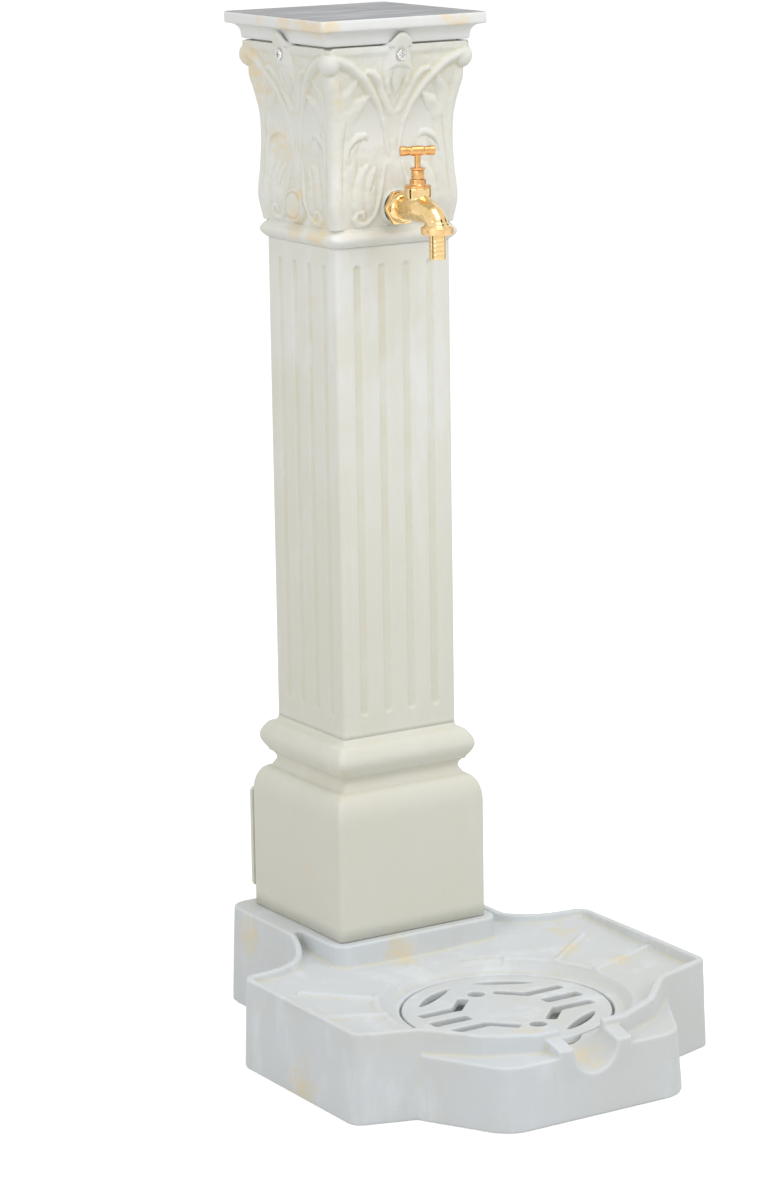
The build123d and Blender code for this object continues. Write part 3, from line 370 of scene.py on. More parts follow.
def softened(bm, voxel, rounds, keep, carve=None):
    # The mesh remade in small cells, smoothed, carved and thinned
    mesh = worked(meshOf("raw", bm), "REMESH", mode="VOXEL", voxel_size=voxel)
    mesh = worked(mesh, "SMOOTH", factor=0.5, iterations=rounds)
    if carve:
        carve(mesh)
    return worked(mesh, "DECIMATE", ratio=keep)


def copyOfNode(node):
    bm = bmesh.new()
    bm.from_mesh(frame["nodes"][node].data)
    bmesh.ops.remove_doubles(bm, verts=bm.verts, dist=weldGap)
    return bm


def waveMesh(mesh, sizes):
    moves = [v.normal * unevenAt(v.co, sizes) for v in mesh.vertices]
    for v, move in zip(mesh.vertices, moves):
        v.co += move
        v.co = [min(max(c, low), high) for c, low, high in zip(v.co, *boxAtStart)]
    mesh.update()


# Basin: the casting with its edges melted round and its faces a little uneven

basin = {"voxel": 1.3 * mm, "rounds": 3, "keep": 0.3,
         "slowScale": 14, "slow": 0.5 * mm, "fineScale": 55, "fine": 0.15 * mm,
         "floorLow": 60, "floorHigh": 86, "ribs": (11, 33), "ribStart": 112, "ribEnd": 190, "ribFade": (8, 10),
         "ribHalf": 5, "ribLift": 2.1, "stepMiddle": 116.5, "stepHalf": 4.5, "stepLift": 2.2,
         "stepRight": (10, 76), "stepLeft": (3, 40), "stepFade": (6, 4), "ridgePower": 0.8, "facesUp": 0.5}


def ridge(away, half):
    return (1 - (away / half) ** 2) ** basin["ridgePower"] if abs(away) < half else 0


def floorLift(spot):
    # The floor's ribs and the step's rolled edge stand proud of the casting
    s = basin
    x, y = spot.x / mm, (spot.y - grateY) / mm
    reach = math.hypot(x, y)
    turn = math.degrees(math.atan2(y, abs(x)))
    lift = 0
    for angle in s["ribs"]:
        along = reach * math.cos(math.radians(turn - angle))
        across = reach * math.sin(math.radians(turn - angle))
        near, far = s["ribStart"], s["ribEnd"]
        fadeIn, fadeOut = s["ribFade"]
        ends = easeStep(along, near, near + fadeIn) * (1 - easeStep(along, far - fadeOut, far))
        lift = max(lift, s["ribLift"] * ridge(across, s["ribHalf"]) * ends)
    first, last = s["stepRight"] if x > 0 else s["stepLeft"]
    outer, inner = s["stepFade"]
    ends = easeStep(turn, first - outer, first + inner) * (1 - easeStep(turn, last - inner, last + outer))
    return max(lift, s["stepLift"] * ridge(reach - s["stepMiddle"], s["stepHalf"]) * ends)


def carveFloor(mesh):
    ups = [v.normal.z for v in mesh.vertices]
    for v, up in zip(mesh.vertices, ups):
        if up > basin["facesUp"] and basin["floorLow"] < v.co.z / mm < basin["floorHigh"]:
            v.co.z += floorLift(v.co) * mm


grate = {"voxel": 1.1 * mm, "rounds": 4, "keep": 0.6,
         "slowScale": 30, "slow": 0.2 * mm, "fineScale": 90, "fine": 0.1 * mm}


def buildCast(name, node, body, sizes, carve=None):
    mesh = softened(copyOfNode(node), sizes["voxel"], sizes["rounds"], sizes["keep"], carve)
    waveMesh(mesh, sizes)
    dressPiece(name, mesh, "cast_base", body, [node])


# Column: each part is a square tube, one face from a grid and three turned copies

seamGap, levelGap = 0.002, 0.01


def turnToSides(bm):
    # Three turned copies of one side, for the other three
    side = bm.faces[:]
    for quarter in range(1, 4):
        verts = vertsIn(bmesh.ops.duplicate(bm, geom=side)["geom"])
        turn = Matrix.Rotation(quarter * math.pi / 2, 3, "Z")
        bmesh.ops.rotate(bm, verts=verts, cent=(0, 0, 0), matrix=turn)


def ontoColumn(bm):
    # From millimetres round the column's middle line to metres in the frame
    bmesh.ops.scale(bm, vec=(mm, mm, mm), verts=bm.verts)
    bmesh.ops.translate(bm, vec=(0, columnY, 0), verts=bm.verts)


def squareTube(shares, rows, corner, liftAt, innerFoot, innerHead, roof=None):
    bm = bmesh.new()
    wide, tall = len(shares) - 1, len(rows) - 1
    bmesh.ops.create_grid(bm, x_segments=wide, y_segments=tall, size=1)
    for v in bm.verts:
        share = shares[round((v.co.x + 1) / 2 * wide)]
        z, half = rows[round((v.co.y + 1) / 2 * tall)]
        u = share * half
        over = abs(u) - (half - corner)
        if over > 0:
            turn = math.copysign(over / corner * math.pi / 4, u)
            out = Vector((math.sin(turn), -math.cos(turn), 0))
            pivot = Vector((math.copysign(half - corner, u), corner - half, z))
            spot = pivot + out * corner
        else:
            out = Vector((0, -1, 0))
            spot = Vector((u, -half, z))
        wave = columnUneven(spot) * (1 - abs(share) ** 6)
        v.co = spot + out * liftAt(u, z, half, spot, out, wave)
    turnToSides(bm)
    bmesh.ops.remove_doubles(bm, verts=bm.verts, dist=seamGap)
    if roof:
        roofTube(bm, rows, innerFoot, roof)
    else:
        closeTube(bm, rows, innerFoot, innerHead)
    ontoColumn(bm)
    return bm


def turnedIn(bm, edges, share, rise=0):
    # The rim drawn in to a share of its width, or up by a rise, as a new rim
    grown = bmesh.ops.extrude_edge_only(bm, edges=edges)["geom"]
    verts = vertsIn(grown)
    bmesh.ops.scale(bm, vec=(share, share, 1), verts=verts)
    bmesh.ops.translate(bm, vec=(0, 0, rise), verts=verts)
    return [g for g in grown if isinstance(g, bmesh.types.BMEdge) and g.is_boundary]


def rimAt(bm, level):
    return [e for e in bm.edges if e.is_boundary and all(abs(v.co.z - level) < levelGap for v in e.verts)]


def closeTube(bm, rows, innerFoot, innerHead):
    # Both ends turn in to the hollow, and the hollow's wall joins them
    rings = turnedIn(bm, rimAt(bm, rows[0][0]), innerFoot / rows[0][1])
    rings += turnedIn(bm, rimAt(bm, rows[-1][0]), innerHead / rows[-1][1])
    bmesh.ops.bridge_loops(bm, edges=rings)
    bmesh.ops.recalc_face_normals(bm, faces=bm.faces)


def roofTube(bm, rows, inner, roof):
    # The head is closed flat, and the hollow from the foot ends under the roof
    head = rimAt(bm, rows[-1][0])
    for share in (0.985, 0.9, 0.8):
        head = turnedIn(bm, head, share)
    bmesh.ops.edgeloop_fill(bm, edges=head)
    hollow = turnedIn(bm, rimAt(bm, rows[0][0]), inner / rows[0][1])
    hollow = turnedIn(bm, hollow, 1, roof - rows[0][0])
    bmesh.ops.edgeloop_fill(bm, edges=hollow)
    bmesh.ops.recalc_face_normals(bm, faces=bm.faces)


def evenShares(count):
    return [-1 + 2 * i / count for i in range(count + 1)]


def swellRows(z0, z1, half0, half1, swell, count):
    rows = []
    for i in range(count + 1):
        share = i / count
        half = half0 + (half1 - half0) * share + swell * math.sin(math.pi * share)
        rows.append((z0 + (z1 - z0) * share, half))
    return rows


def quarterRows(z0, z1, half0, half1, count):
    rows = []
    for i in range(count + 1):
        turn = math.pi / 2 * i / count
        rows.append((z0 + (z1 - z0) * math.sin(turn), half1 + (half0 - half1) * math.cos(turn)))
    return rows


def straightRows(z0, z1, half0, half1, count):
    return swellRows(z0, z1, half0, half1, 0, count)


def smoothRows(heights, halves, step):
    # Rows through a silhouette's points, eased between them
    rows = []
    for (z0, h0), (z1, h1), (za, ha), (zb, hb) in silhouetteSpans(heights, halves):
        count = max(1, round((z1 - z0) / step))
        for i in range(count):
            t = i / count
            slope0 = (h1 - ha) / (z1 - za) * (z1 - z0)
            slope1 = (hb - h0) / (zb - z0) * (z1 - z0)
            cube, square = t ** 3, t ** 2
            half = (2 * cube - 3 * square + 1) * h0 + (cube - 2 * square + t) * slope0
            half += (3 * square - 2 * cube) * h1 + (cube - square) * slope1
            rows.append((z0 + (z1 - z0) * t, half))
    rows.append((heights[-1], halves[-1]))
    return rows


def silhouetteSpans(heights, halves):
    points = list(zip(heights, halves))
    spans = []
    for i in range(len(points) - 1):
        before = points[max(0, i - 1)]
        after = points[min(len(points) - 1, i + 2)]
        spans.append((points[i], points[i + 1], before, after))
    return spans


columnWave = {"slowScale": 9, "slow": 0.35, "fineScale": 40, "fine": 0.12}


def columnUneven(spot):
    place = Vector((spot.x * mm, spot.y * mm, spot.z * mm))
    return unevenAt(place, columnWave)


def plainLift(u, z, half, spot, out, wave):
    return wave


foot = {"half": 79, "base": 91.8, "top": 204, "shoulderHalf": 67, "shoulderTop": 228, "corner": 4.5,
        "neckHalf": 65.5, "neckDip": 3, "neckTop": 242.5, "torusFoot": 68.2, "torusSwell": 5.8,
        "torusLow": 245, "torusHigh": 270, "shaftHalf": 60.4, "end": 277, "inner": 53, "innerFoot": 72,
        "footCut": 2.6}


def buildFoot():
    s = foot
    rows = [(s["base"] - 0.6, s["half"] - s["footCut"]), (s["base"] + 0.7, s["half"] - s["footCut"])]
    rows += straightRows(s["base"] + 0.9, s["top"] - 8, s["half"], s["half"], 8)
    rows += quarterRows(s["top"], s["shoulderTop"], s["half"], s["shoulderHalf"], 9)
    rows += [(s["shoulderTop"] + 0.6, s["neckHalf"] + 0.3)]
    rows += swellRows(s["shoulderTop"] + 2.4, s["neckTop"], s["neckHalf"], s["neckHalf"], -s["neckDip"], 8)
    rows += [(s["neckTop"] + 0.8, s["torusFoot"] - 0.6)]
    rows += swellRows(s["torusLow"], s["torusHigh"], s["torusFoot"], s["torusFoot"], s["torusSwell"], 12)
    rows += [(s["torusHigh"] + 1, s["torusFoot"] - 1.5), (s["torusHigh"] + 2, s["shaftHalf"] + 3)]
    rows += [(s["torusHigh"] + 4, s["shaftHalf"] + 1), (s["end"], s["shaftHalf"])]
    shares = cornerShares(s["half"], s["corner"], 14)
    bm = squareTube(shares, rows, s["corner"], plainLift, s["innerFoot"], s["inner"])
    addPiece("columnFoot", bm, "cast_column", "standpipe", ["column_casting"])


def cornerShares(half, corner, count):
    # Even across the flat, with extra columns round each corner
    flat = (half - corner) / half
    inner = [-flat + 2 * flat * i / count for i in range(count + 1)]
    bend = [flat + (1 - flat) * i / 4 for i in range(1, 5)]
    return [-b for b in reversed(bend)] + inner + bend


shaft = {"half": 60.4, "foot": 277, "head": 727, "corner": 4, "inner": 53,
         "fluteSpots": (-38.1, -12.7, 12.7, 38.1), "fluteHalf": 4.4, "fluteDepth": 2.0,
         "fluteLow": 301, "fluteHigh": 706, "offsets": (-5.6, -4.6, -3.9, -3, -1.6, 0, 1.6, 3, 3.9, 4.6, 5.6),
         "flutePower": 0.6}


def shaftLift(u, z, half, spot, out, wave):
    s = shaft
    lift = wave
    for flute in s["fluteSpots"]:
        along = z - min(max(z, s["fluteLow"]), s["fluteHigh"])
        away = math.hypot(u - flute, along) / s["fluteHalf"]
        if away < 1:
            lift -= s["fluteDepth"] * (1 - away ** 2) ** s["flutePower"]
    return lift


def buildShaft():
    s = shaft
    shares = cornerShares(s["half"], s["corner"], 1)
    shares += [(flute + d) / s["half"] for flute in s["fluteSpots"] for d in s["offsets"]]
    shares += [0]
    shares = sorted(set(round(share, 5) for share in shares))
    low, high = s["fluteLow"], s["fluteHigh"]
    levels = [s["foot"], 281, 286, 291, 294]
    levels += [low - 6 + 0.9 * i for i in range(9)] + [low + 5, low + 12]
    levels += [low + 25 + 14 * i for i in range(27)]
    levels += [high - 8, high - 3] + [high - 1 + 0.9 * i for i in range(9)] + [715, 720, 724, s["head"]]
    rows = [(z, s["half"]) for z in sorted(levels)]
    bm = squareTube(shares, rows, s["corner"], shaftLift, s["inner"], s["inner"])
    addPiece("columnShaft", bm, "cast_column", "standpipe", ["column_casting"])


# Capital: the relief is a set of strokes on half a face, each a run of
# (across, height, half width, lift), mirrored to the other half

relief = {
    "stem": [(4.5, 806, 2, 1.6), (7, 818, 2.6, 3), (10, 833, 3.1, 3.8), (15.5, 848, 3.4, 4.2),
             (24.5, 863, 3.8, 4.6), (36, 876.5, 4.2, 5), (49, 887, 4.6, 5.4), (61, 893, 5.2, 5.8),
             (70, 894.5, 6, 6)],
    "calyx": [(0, 843, 3.4, 2), (6, 846.5, 3.4, 2.8), (13, 860, 3.1, 3.2), (19, 873, 2.9, 3.4),
              (25, 880.5, 2.6, 3.4), (31.5, 882.5, 2.2, 3), (36.5, 880, 1.5, 2)],
    "tongue": [(0, 893, 9, 4), (0, 880, 6, 3.6), (0, 868, 3.8, 3), (0, 857, 2.2, 1.8), (0, 851, 1.4, 0.8)],
    "tongueSide": [(5, 892, 6, 3.6), (9.5, 881, 4, 3), (10, 870, 2.4, 2.2), (8, 862, 1.6, 1.2)],
    "vase": [(0, 778, 6, 2), (0, 787, 7.5, 3.2), (0, 797, 6.5, 3.2), (0, 806, 3.4, 2.2), (0, 818, 2.4, 1.2)],
    "scroll": [(9, 800, 1.5, 1.6), (11.5, 788, 2, 2.6), (15, 776, 2.3, 3.2), (18, 764, 2.4, 3.2),
               (22.5, 752.5, 2.5, 3.2), (30, 746.5, 2.6, 3.2), (38, 746.5, 2.6, 3.2), (42.5, 751.5, 2.4, 3.2),
               (39.5, 757.5, 2.2, 3), (34, 757.5, 2, 2.8), (32.5, 753.5, 1.8, 2.4)],
    "lowLobe": [(26, 760, 4, 1.6), (27.5, 770, 5.4, 2.6), (26.5, 781, 5.2, 3.2), (23, 791, 3.4, 3),
                (20, 795.5, 1.7, 2)],
    "lowLobeSide": [(40, 764, 5, 2), (38, 774, 5.6, 2.8), (36.5, 784, 5, 3.2), (32.5, 793, 3.6, 3.2),
                    (27.5, 797.5, 2, 2.2)],
    "leafBody": [(59, 747, 8, 2.2), (57, 770, 9.5, 2.8), (55.5, 797, 10, 3.2), (54, 822, 10, 3.4),
                 (52, 842, 8, 3.2), (50, 854, 5, 2.6)],
    "leafTop": [(52, 834, 8, 3), (45, 843.5, 7.4, 3.6), (38, 850.5, 5.8, 3.8), (31.5, 856.5, 3.6, 3.6),
                (27, 860.5, 1.6, 2.6)],
    "leafTopBack": [(54, 852, 6, 2.6), (50, 861, 4.6, 2.8), (45, 869.5, 3, 2.6), (42, 875.5, 1.4, 1.6)],
    "leafMid": [(52, 802, 7, 2.8), (47.5, 812, 6, 3.4), (42, 819.5, 4.8, 3.8), (36, 824.5, 3.6, 3.8),
                (30, 825.5, 2.6, 3.4), (27.5, 822, 1.5, 2)],
    "leafMidLow": [(50, 782, 6, 2.4), (46.5, 793, 4.6, 3), (43, 802, 3, 2.6), (41, 808.5, 1.4, 1.4)],
}
creases = {
    "leafTop": [(40, 835, 0.7, 0.8), (36, 838, 1.1, 1.8), (31, 847, 1.1, 1.8), (27.5, 857, 0.9, 1.2)],
    "leafMid": [(47, 806, 0.8, 1), (45, 813.5, 1.1, 1.8), (40, 819, 1.1, 1.8), (34, 821.5, 1, 1.4)],
    "lowLobe": [(26, 776, 1, 1.2), (22.5, 784, 1, 1.4), (20, 790.5, 0.8, 1)],
    "tongue": [(0, 857, 0.8, 0.9), (4, 866, 1.1, 1.6), (7.5, 875, 0.9, 1)],
    "leafBody": [(50, 838, 0.8, 0.9), (53, 815, 1, 1.3), (55, 790, 1, 1.3), (57, 765, 0.8, 0.9)],
}
capital = {"foot": 743, "corner": 8, "sink": 2.4, "band": 12.5, "roll": 3.6,
           "heights": (743, 765, 790, 817, 841, 863, 879, 895, 904.4),
           "halves": (63.7, 66.9, 65.2, 64.1, 65.2, 69.2, 73.4, 75.6, 76),
           "columns": 112, "step": 1.25, "crisp": (1.25, 0.85), "soft": (1.65, 0.78), "inner": 57, "innerHead": 70,
           "bead": (727, 741, 62.6, 4.6), "crown": 898.5,
           "knobRadius": 11.5, "knobReach": 69.5, "knobHeight": 891.5,
           "rough": 0.75, "roughScale": 0.09, "bossHeight": 760.5, "bossRadius": 15.2, "bossFace": 69.1,
           "bossGroove": 11.9, "grooveDepth": 0.32, "grooveHalf": 0.9, "rollFrom": 868, "rollTo": 884,
           "rollPower": 0.7, "crownFade": (4, 1.5), "strokePower": 1.3, "melt": 4,
           "notch": {"depth": 3.4 * mm, "low": 0.9, "high": 0.9043, "edge": 0.066, "from": 0.0685, "to": 0.0735}}


def strokeLift(stroke, u, z, spread=1.2):
    best = 0
    for (u0, z0, w0, h0), (u1, z1, w1, h1) in zip(stroke, stroke[1:]):
        du, dz = u1 - u0, z1 - z0
        t = ((u - u0) * du + (z - z0) * dz) / (du * du + dz * dz)
        t = min(max(t, 0), 1)
        away = math.hypot(u - u0 - du * t, z - z0 - dz * t) / (w0 + (w1 - w0) * t) / spread
        if away < 1:
            best = max(best, (h0 + (h1 - h0) * t) * (1 - away ** 2) ** capital["strokePower"])
    return best


def knobLift(spot, out):
    # How far out along the normal the knob at the corner reaches
    s = capital
    side = math.copysign(s["knobReach"], spot.x) if spot.x else s["knobReach"]
    centre = Vector((side, -s["knobReach"], s["knobHeight"]))
    gap = spot - centre
    along = gap.dot(out)
    room = along * along - gap.length_squared + s["knobRadius"] ** 2
    return max(0, math.sqrt(room) - along) if room > 0 else 0


def bossLift(u, z, half):
    s = capital
    away = math.hypot(u, z - s["bossHeight"])
    if away > s["bossRadius"] + 1.5:
        return 0
    rise = s["bossFace"] - (half - s["sink"])
    edge = 1 - easeStep(away, s["bossRadius"] - 1, s["bossRadius"] + 1)
    groove = 1 - s["grooveDepth"] * math.exp(-((away - s["bossGroove"]) / s["grooveHalf"]) ** 2)
    return rise * edge * groove


def capitalLift(u, z, half, spot, out, wave):
    s = capital
    across = abs(u)
    lift = 0
    if z > s["foot"]:
        for name, stroke in relief.items():
            spread, share = s["crisp"] if name in ("stem", "scroll") else s["soft"]
            lift += (share * strokeLift(stroke, across, z, spread)) ** s["melt"]
        lift **= 1 / s["melt"]
        for crease in creases.values():
            lift -= strokeLift(crease, across, z)
    away = min(1, (half - across) / s["band"])
    roll = s["roll"] * (1 - away ** 2) ** s["rollPower"] * (1 - easeStep(z, s["rollFrom"], s["rollTo"]))
    below, above = s["crownFade"]
    crown = s["sink"] * easeStep(z, s["crown"] - below, s["crown"] + above)
    lift = sum(part ** s["melt"] for part in (max(lift, 0), roll, crown)) ** (1 / s["melt"])
    lift = max(lift, knobLift(spot, out))
    if z > s["foot"]:
        lift = max(lift, bossLift(u, z, half))
    place = Vector((u, z, 3)) * s["roughScale"]
    rough = s["rough"] * (noise.noise(place) + 0.6 * noise.noise(place * 2.3))
    return lift - s["sink"] + wave + rough * (1 - (across / half) ** 6)


def buildCapital():
    s = capital
    rows = smoothRows(s["heights"], s["halves"], s["step"])
    shares = evenShares(s["columns"])
    bm = squareTube(shares, rows, s["corner"], capitalLift, s["inner"], s["innerHead"])
    notch = s["notch"]
    for v in bm.verts:
        # A small notch at each upper corner
        reach, z = min(abs(v.co.x), abs(v.co.y - columnY)), v.co.z
        if z > notch["low"] and reach > notch["edge"]:
            fade = easeStep(z, notch["low"], notch["high"])
            v.co.z -= notch["depth"] * easeStep(reach, notch["from"], notch["to"]) * fade
    addPiece("columnCapital", bm, "cast_column", "standpipe", ["column_casting"])


def buildBead():
    low, high, half, swell = capital["bead"]
    rows = swellRows(low, high, half, half, swell, 10) + [(capital["foot"] + 0.6, half - 0.8)]
    shares = cornerShares(half, capital["corner"], 14)
    bm = squareTube(shares, rows, capital["corner"], plainLift, shaft["inner"], shaft["inner"])
    addPiece("columnBead", bm, "cast_column", "standpipe", ["column_casting"])


# Ears: a leaf tip that stands up from each face over the cap's cove

ear = {"half": 19.5, "columns": 48, "rows": 48, "low": 876, "root": 903.2, "rise": 12.6, "spread": 10.6,
       "sharp": 2.3, "face": 77.7, "sinkFace": 69, "lean": 3.4, "leanFrom": 901, "leanTo": 914, "dome": 1.5,
       "thick": 2.4, "domeFrom": 884, "domeTo": 905, "flat": 9, "edge": 2.2, "edgeDrop": 1.3,
       "screw": (0, 896, 5.6), "screwFade": (1, 3), "tipShare": 0.9, "tipFrom": 9.5, "tipTo": 17, "lowFade": 13,
       "slowScale": 60, "slow": 0.3 * mm, "fineScale": 160, "fine": 0.1 * mm}


def earFace(u, z, top):
    # How far the leaf's front stands from the column's middle
    s = ear
    face = s["face"] + s["lean"] * easeStep(z, s["leanFrom"], s["leanTo"])
    dome = s["dome"] * math.cos(math.pi / 2 * min(1, abs(u) / s["half"]))
    face += dome * easeStep(z, s["domeFrom"], s["domeTo"])
    screwU, screwZ, reach = s["screw"]
    inner, outer = s["screwFade"]
    nearScrew = 1 - easeStep(math.hypot(u - screwU, z - screwZ), reach - inner, reach + outer)
    face += (s["face"] - face) * nearScrew
    body = 1 - easeStep(abs(u), s["flat"] * 0.5, s["half"])
    if z > s["root"]:
        body = max(body, 1 - s["tipShare"] * easeStep(abs(u), s["tipFrom"], s["tipTo"]))
    body = min(body, easeStep(z, s["low"], s["low"] + s["lowFade"]))
    face = s["sinkFace"] + (face - s["sinkFace"]) * body
    rim = 1 - min(1, (top - z) / s["edge"])
    return face - s["edgeDrop"] * rim * rim


def buildEars():
    s = ear
    bm = bmesh.new()
    bmesh.ops.create_grid(bm, x_segments=s["columns"], y_segments=s["rows"], size=1)
    for v in bm.verts:
        u = v.co.x * s["half"]
        top = s["root"] + s["rise"] * math.exp(-(abs(u) / s["spread"]) ** s["sharp"])
        z = s["low"] + (top - s["low"]) * (v.co.y + 1) / 2
        v.co = (u, -earFace(u, z, top), z)
    front = bm.faces[:]
    grown = bmesh.ops.extrude_face_region(bm, geom=front)["geom"]
    verts = vertsIn(grown)
    bmesh.ops.translate(bm, vec=(0, s["thick"], 0), verts=verts)
    bmesh.ops.recalc_face_normals(bm, faces=bm.faces)
    turnToSides(bm)
    ontoColumn(bm)
    for v in bm.verts:
        v.co += v.normal * unevenAt(v.co, s)
    addPiece("columnEars", bm, "cast_column", "standpipe", ["column_casting"])


cap = {"plugLow": 886, "plugInner": 65.1, "plugOuter": 69.6, "grooveHalf": 66.5, "grooveLow": 903,
       "roof": 923, "foot": 906, "footHalf": 75.2, "coveLow": 912.6, "slabLow": 919.5, "coveHalf": 84.2,
       "half": 86.3, "top": 930, "edge": 1.5, "corner": 3.2, "pocketHalf": 17.6, "pocketDepth": 77.3}


def capLift(u, z, half, spot, out, wave):
    s = cap
    lift = wave * 0.8 if z > s["foot"] else 0
    inPocket = abs(u) < s["pocketHalf"] and s["foot"] < z < s["slabLow"] - 3
    return min(lift, s["pocketDepth"] - half) if inPocket else lift


def coveRows():
    # A smooth S from the foot out to the underside of the slab
    s = cap
    rows = []
    for i in range(11):
        turn = math.pi / 2 * i / 10
        reach = s["coveHalf"] - s["footHalf"] - 0.4
        rows.append((s["coveLow"] - 2 + (s["slabLow"] - s["coveLow"] + 2) * math.sin(turn),
                     s["footHalf"] + 0.4 + reach * (1 - math.cos(turn))))
    return rows


def buildCap():
    s = cap
    rows = [(s["plugLow"], s["plugOuter"]), (s["grooveLow"], s["plugOuter"]),
            (s["grooveLow"] + 0.2, s["grooveHalf"])]
    rows += [(s["foot"], s["grooveHalf"]), (s["foot"] + 0.1, s["footHalf"] - 1), (s["foot"] + 0.9, s["footHalf"])]
    rows += coveRows()
    edge = s["edge"]
    rows += [(s["slabLow"] + 0.15, s["half"] - edge), (s["slabLow"] + 0.5, s["half"] - edge / 3)]
    rows += straightRows(s["slabLow"] + edge, s["top"] - edge, s["half"], s["half"], 3)
    rows += quarterRows(s["top"] - edge + 0.1, s["top"], s["half"] - 0.1, s["half"] - edge, 4)[1:]
    shares = cornerShares(s["half"], s["corner"], 38)
    bm = squareTube(shares, rows, s["corner"], capLift, s["plugInner"], s["plugInner"], s["roof"])
    addPiece("capCast", bm, "cast_cap", "standpipe", ["top_cap"])


buildCast("basinCast", "basin_casting", "standpipe", basin, carveFloor)
buildCast("grateCast", "grate", "grate", grate)
buildFoot()
buildShaft()
buildBead()
buildCapital()
buildEars()
buildCap()


# Tap: turned pieces are spun from a profile of (radius, height) with rounded corners

stemY, spoutY, tapZ = 36.6, 5.6, 760.5


def roundedProfile(points, rounding):
    # Each corner of the profile gets a short arc
    rows = []
    count = len(points)
    for i, here in enumerate(points):
        before, after = Vector(points[i - 1]), Vector(points[(i + 1) % count])
        here = Vector(here)
        size = min(rounding, 0.45 * (before - here).length, 0.45 * (after - here).length)
        start = here + (before - here).normalized() * size
        end = here + (after - here).normalized() * size
        for t in (0, 0.25, 0.5, 0.75, 1):
            rows.append((1 - t) ** 2 * start + 2 * t * (1 - t) * here + t * t * end)
    return rows


def spun(points, rounding, place, steps=96):
    # A closed profile turned about the height axis, then put in its place
    bm = bmesh.new()
    ring = [bm.verts.new((p.x * mm, 0, p.y * mm)) for p in roundedProfile(points, rounding)]
    edges = [bm.edges.new((ring[i - 1], ring[i])) for i in range(len(ring))]
    bmesh.ops.spin(bm, geom=ring + edges, cent=(0, 0, 0), axis=(0, 0, 1), angle=2 * math.pi, steps=steps,
                   use_merge=True)
    bmesh.ops.remove_doubles(bm, verts=bm.verts, dist=fineGap)
    bmesh.ops.recalc_face_normals(bm, faces=bm.faces)
    bmesh.ops.transform(bm, matrix=place, verts=bm.verts)
    return bm


def joined(first, second):
    # The second shape's mesh put into the first
    mesh = meshOf("joined", second)
    first.from_mesh(mesh)
    bpy.data.meshes.remove(mesh)


nutEdge = {"share": 0.97, "angle": 0.6}


def hexagonPrism(flats, height, bore, place, rounding):
    # A six-sided ring with its corners eased
    bm = bmesh.new()
    bmesh.ops.create_circle(bm, cap_ends=False, segments=6, radius=flats / math.sqrt(3) * mm)
    bmesh.ops.create_circle(bm, cap_ends=False, segments=48, radius=bore * mm)
    bmesh.ops.triangle_fill(bm, edges=bm.edges[:], use_beauty=True)
    grown = bmesh.ops.extrude_face_region(bm, geom=bm.faces[:])["geom"]
    verts = vertsIn(grown)
    bmesh.ops.translate(bm, vec=(0, 0, height * mm), verts=verts)
    bmesh.ops.recalc_face_normals(bm, faces=bm.faces)
    limit = flats / 2 * mm * nutEdge["share"]
    rim = [e for e in bm.edges if all(v.co.xy.length > limit for v in e.verts)]
    sharp = [e for e in rim if e.calc_face_angle(0) > nutEdge["angle"]]
    bmesh.ops.bevel(bm, geom=sharp, offset=rounding * mm, offset_type="OFFSET", segments=3, profile=0.5,
                    affect="EDGES", material=-1)
    bmesh.ops.transform(bm, matrix=place, verts=bm.verts)
    return bm


def upAt(y):
    return Matrix.Translation((0, y * mm, 0))


bonnet = {"profile": ((2.95, 777), (2.95, 794.2), (4.2, 794.2), (4.2, 788.4), (7.1, 788.4), (7.35, 787.4),
                      (7.3, 784.6), (8.1, 783.2), (11.5, 783), (11.8, 782.3), (11.7, 780.9), (9.4, 780.9),
                      (9.4, 777)),
          "rounding": 0.4}


def buildBonnet():
    bm = spun(bonnet["profile"], bonnet["rounding"], upAt(stemY))
    addPiece("bonnetTurned", bm, "satin_brass", "standpipe", ["bonnet"])


gland = {"flats": 11, "foot": 788.5, "height": 7.7, "bore": 4.3,
         "flange": ((2.95, 796.1), (2.95, 798.6), (6.1, 798.6), (6.8, 798), (6.8, 797.2), (5.4, 796.1)),
         "rounding": 0.3}


def buildGland():
    s = gland
    place = upAt(stemY) @ Matrix.Translation((0, 0, s["foot"] * mm)) @ Matrix.Rotation(math.radians(30), 4, "Z")
    bm = hexagonPrism(s["flats"], s["height"], s["bore"], place, s["rounding"])
    joined(bm, spun(s["flange"], s["rounding"], upAt(stemY)))
    addPiece("glandNut", bm, "satin_brass", "standpipe", ["gland_nut"])


handle = {"level": 813.4, "turn": -22, "rounding": 0.4,
          "half": ((0, 15.6), (4.1, 15.6), (4.35, 15.2), (4.35, 11), (4.05, 9.6), (3.75, 7.6), (3.8, 6),
                   (4.45, 5.2), (4.5, 1.6), (4.6, 0))}


def buildHandle():
    s = handle
    lower = [(r, -z) for r, z in reversed(s["half"][:-1])]
    points = list(s["half"]) + lower
    lay = Matrix.Rotation(math.radians(s["turn"]), 4, "Z") @ Matrix.Rotation(math.pi / 2, 4, "Y")
    place = Matrix.Translation((0, stemY * mm, s["level"] * mm)) @ lay
    bm = spun(points, s["rounding"], place, 64)
    addPiece("handleTurned", bm, "satin_brass", "handle", ["t_handle"])


unionRing = {"profile": ((7.6, 742.4), (13.6, 742.4), (14.5, 743.4), (14.6, 748.2), (13.8, 749.2), (12.7, 749.2),
                         (12.7, 744), (7.6, 744)), "rounding": 0.6}


def buildUnionRing():
    bm = spun(unionRing["profile"], unionRing["rounding"], upAt(spoutY))
    addPiece("unionRing", bm, "pale_brass", "union_nut", ["union_nut"])


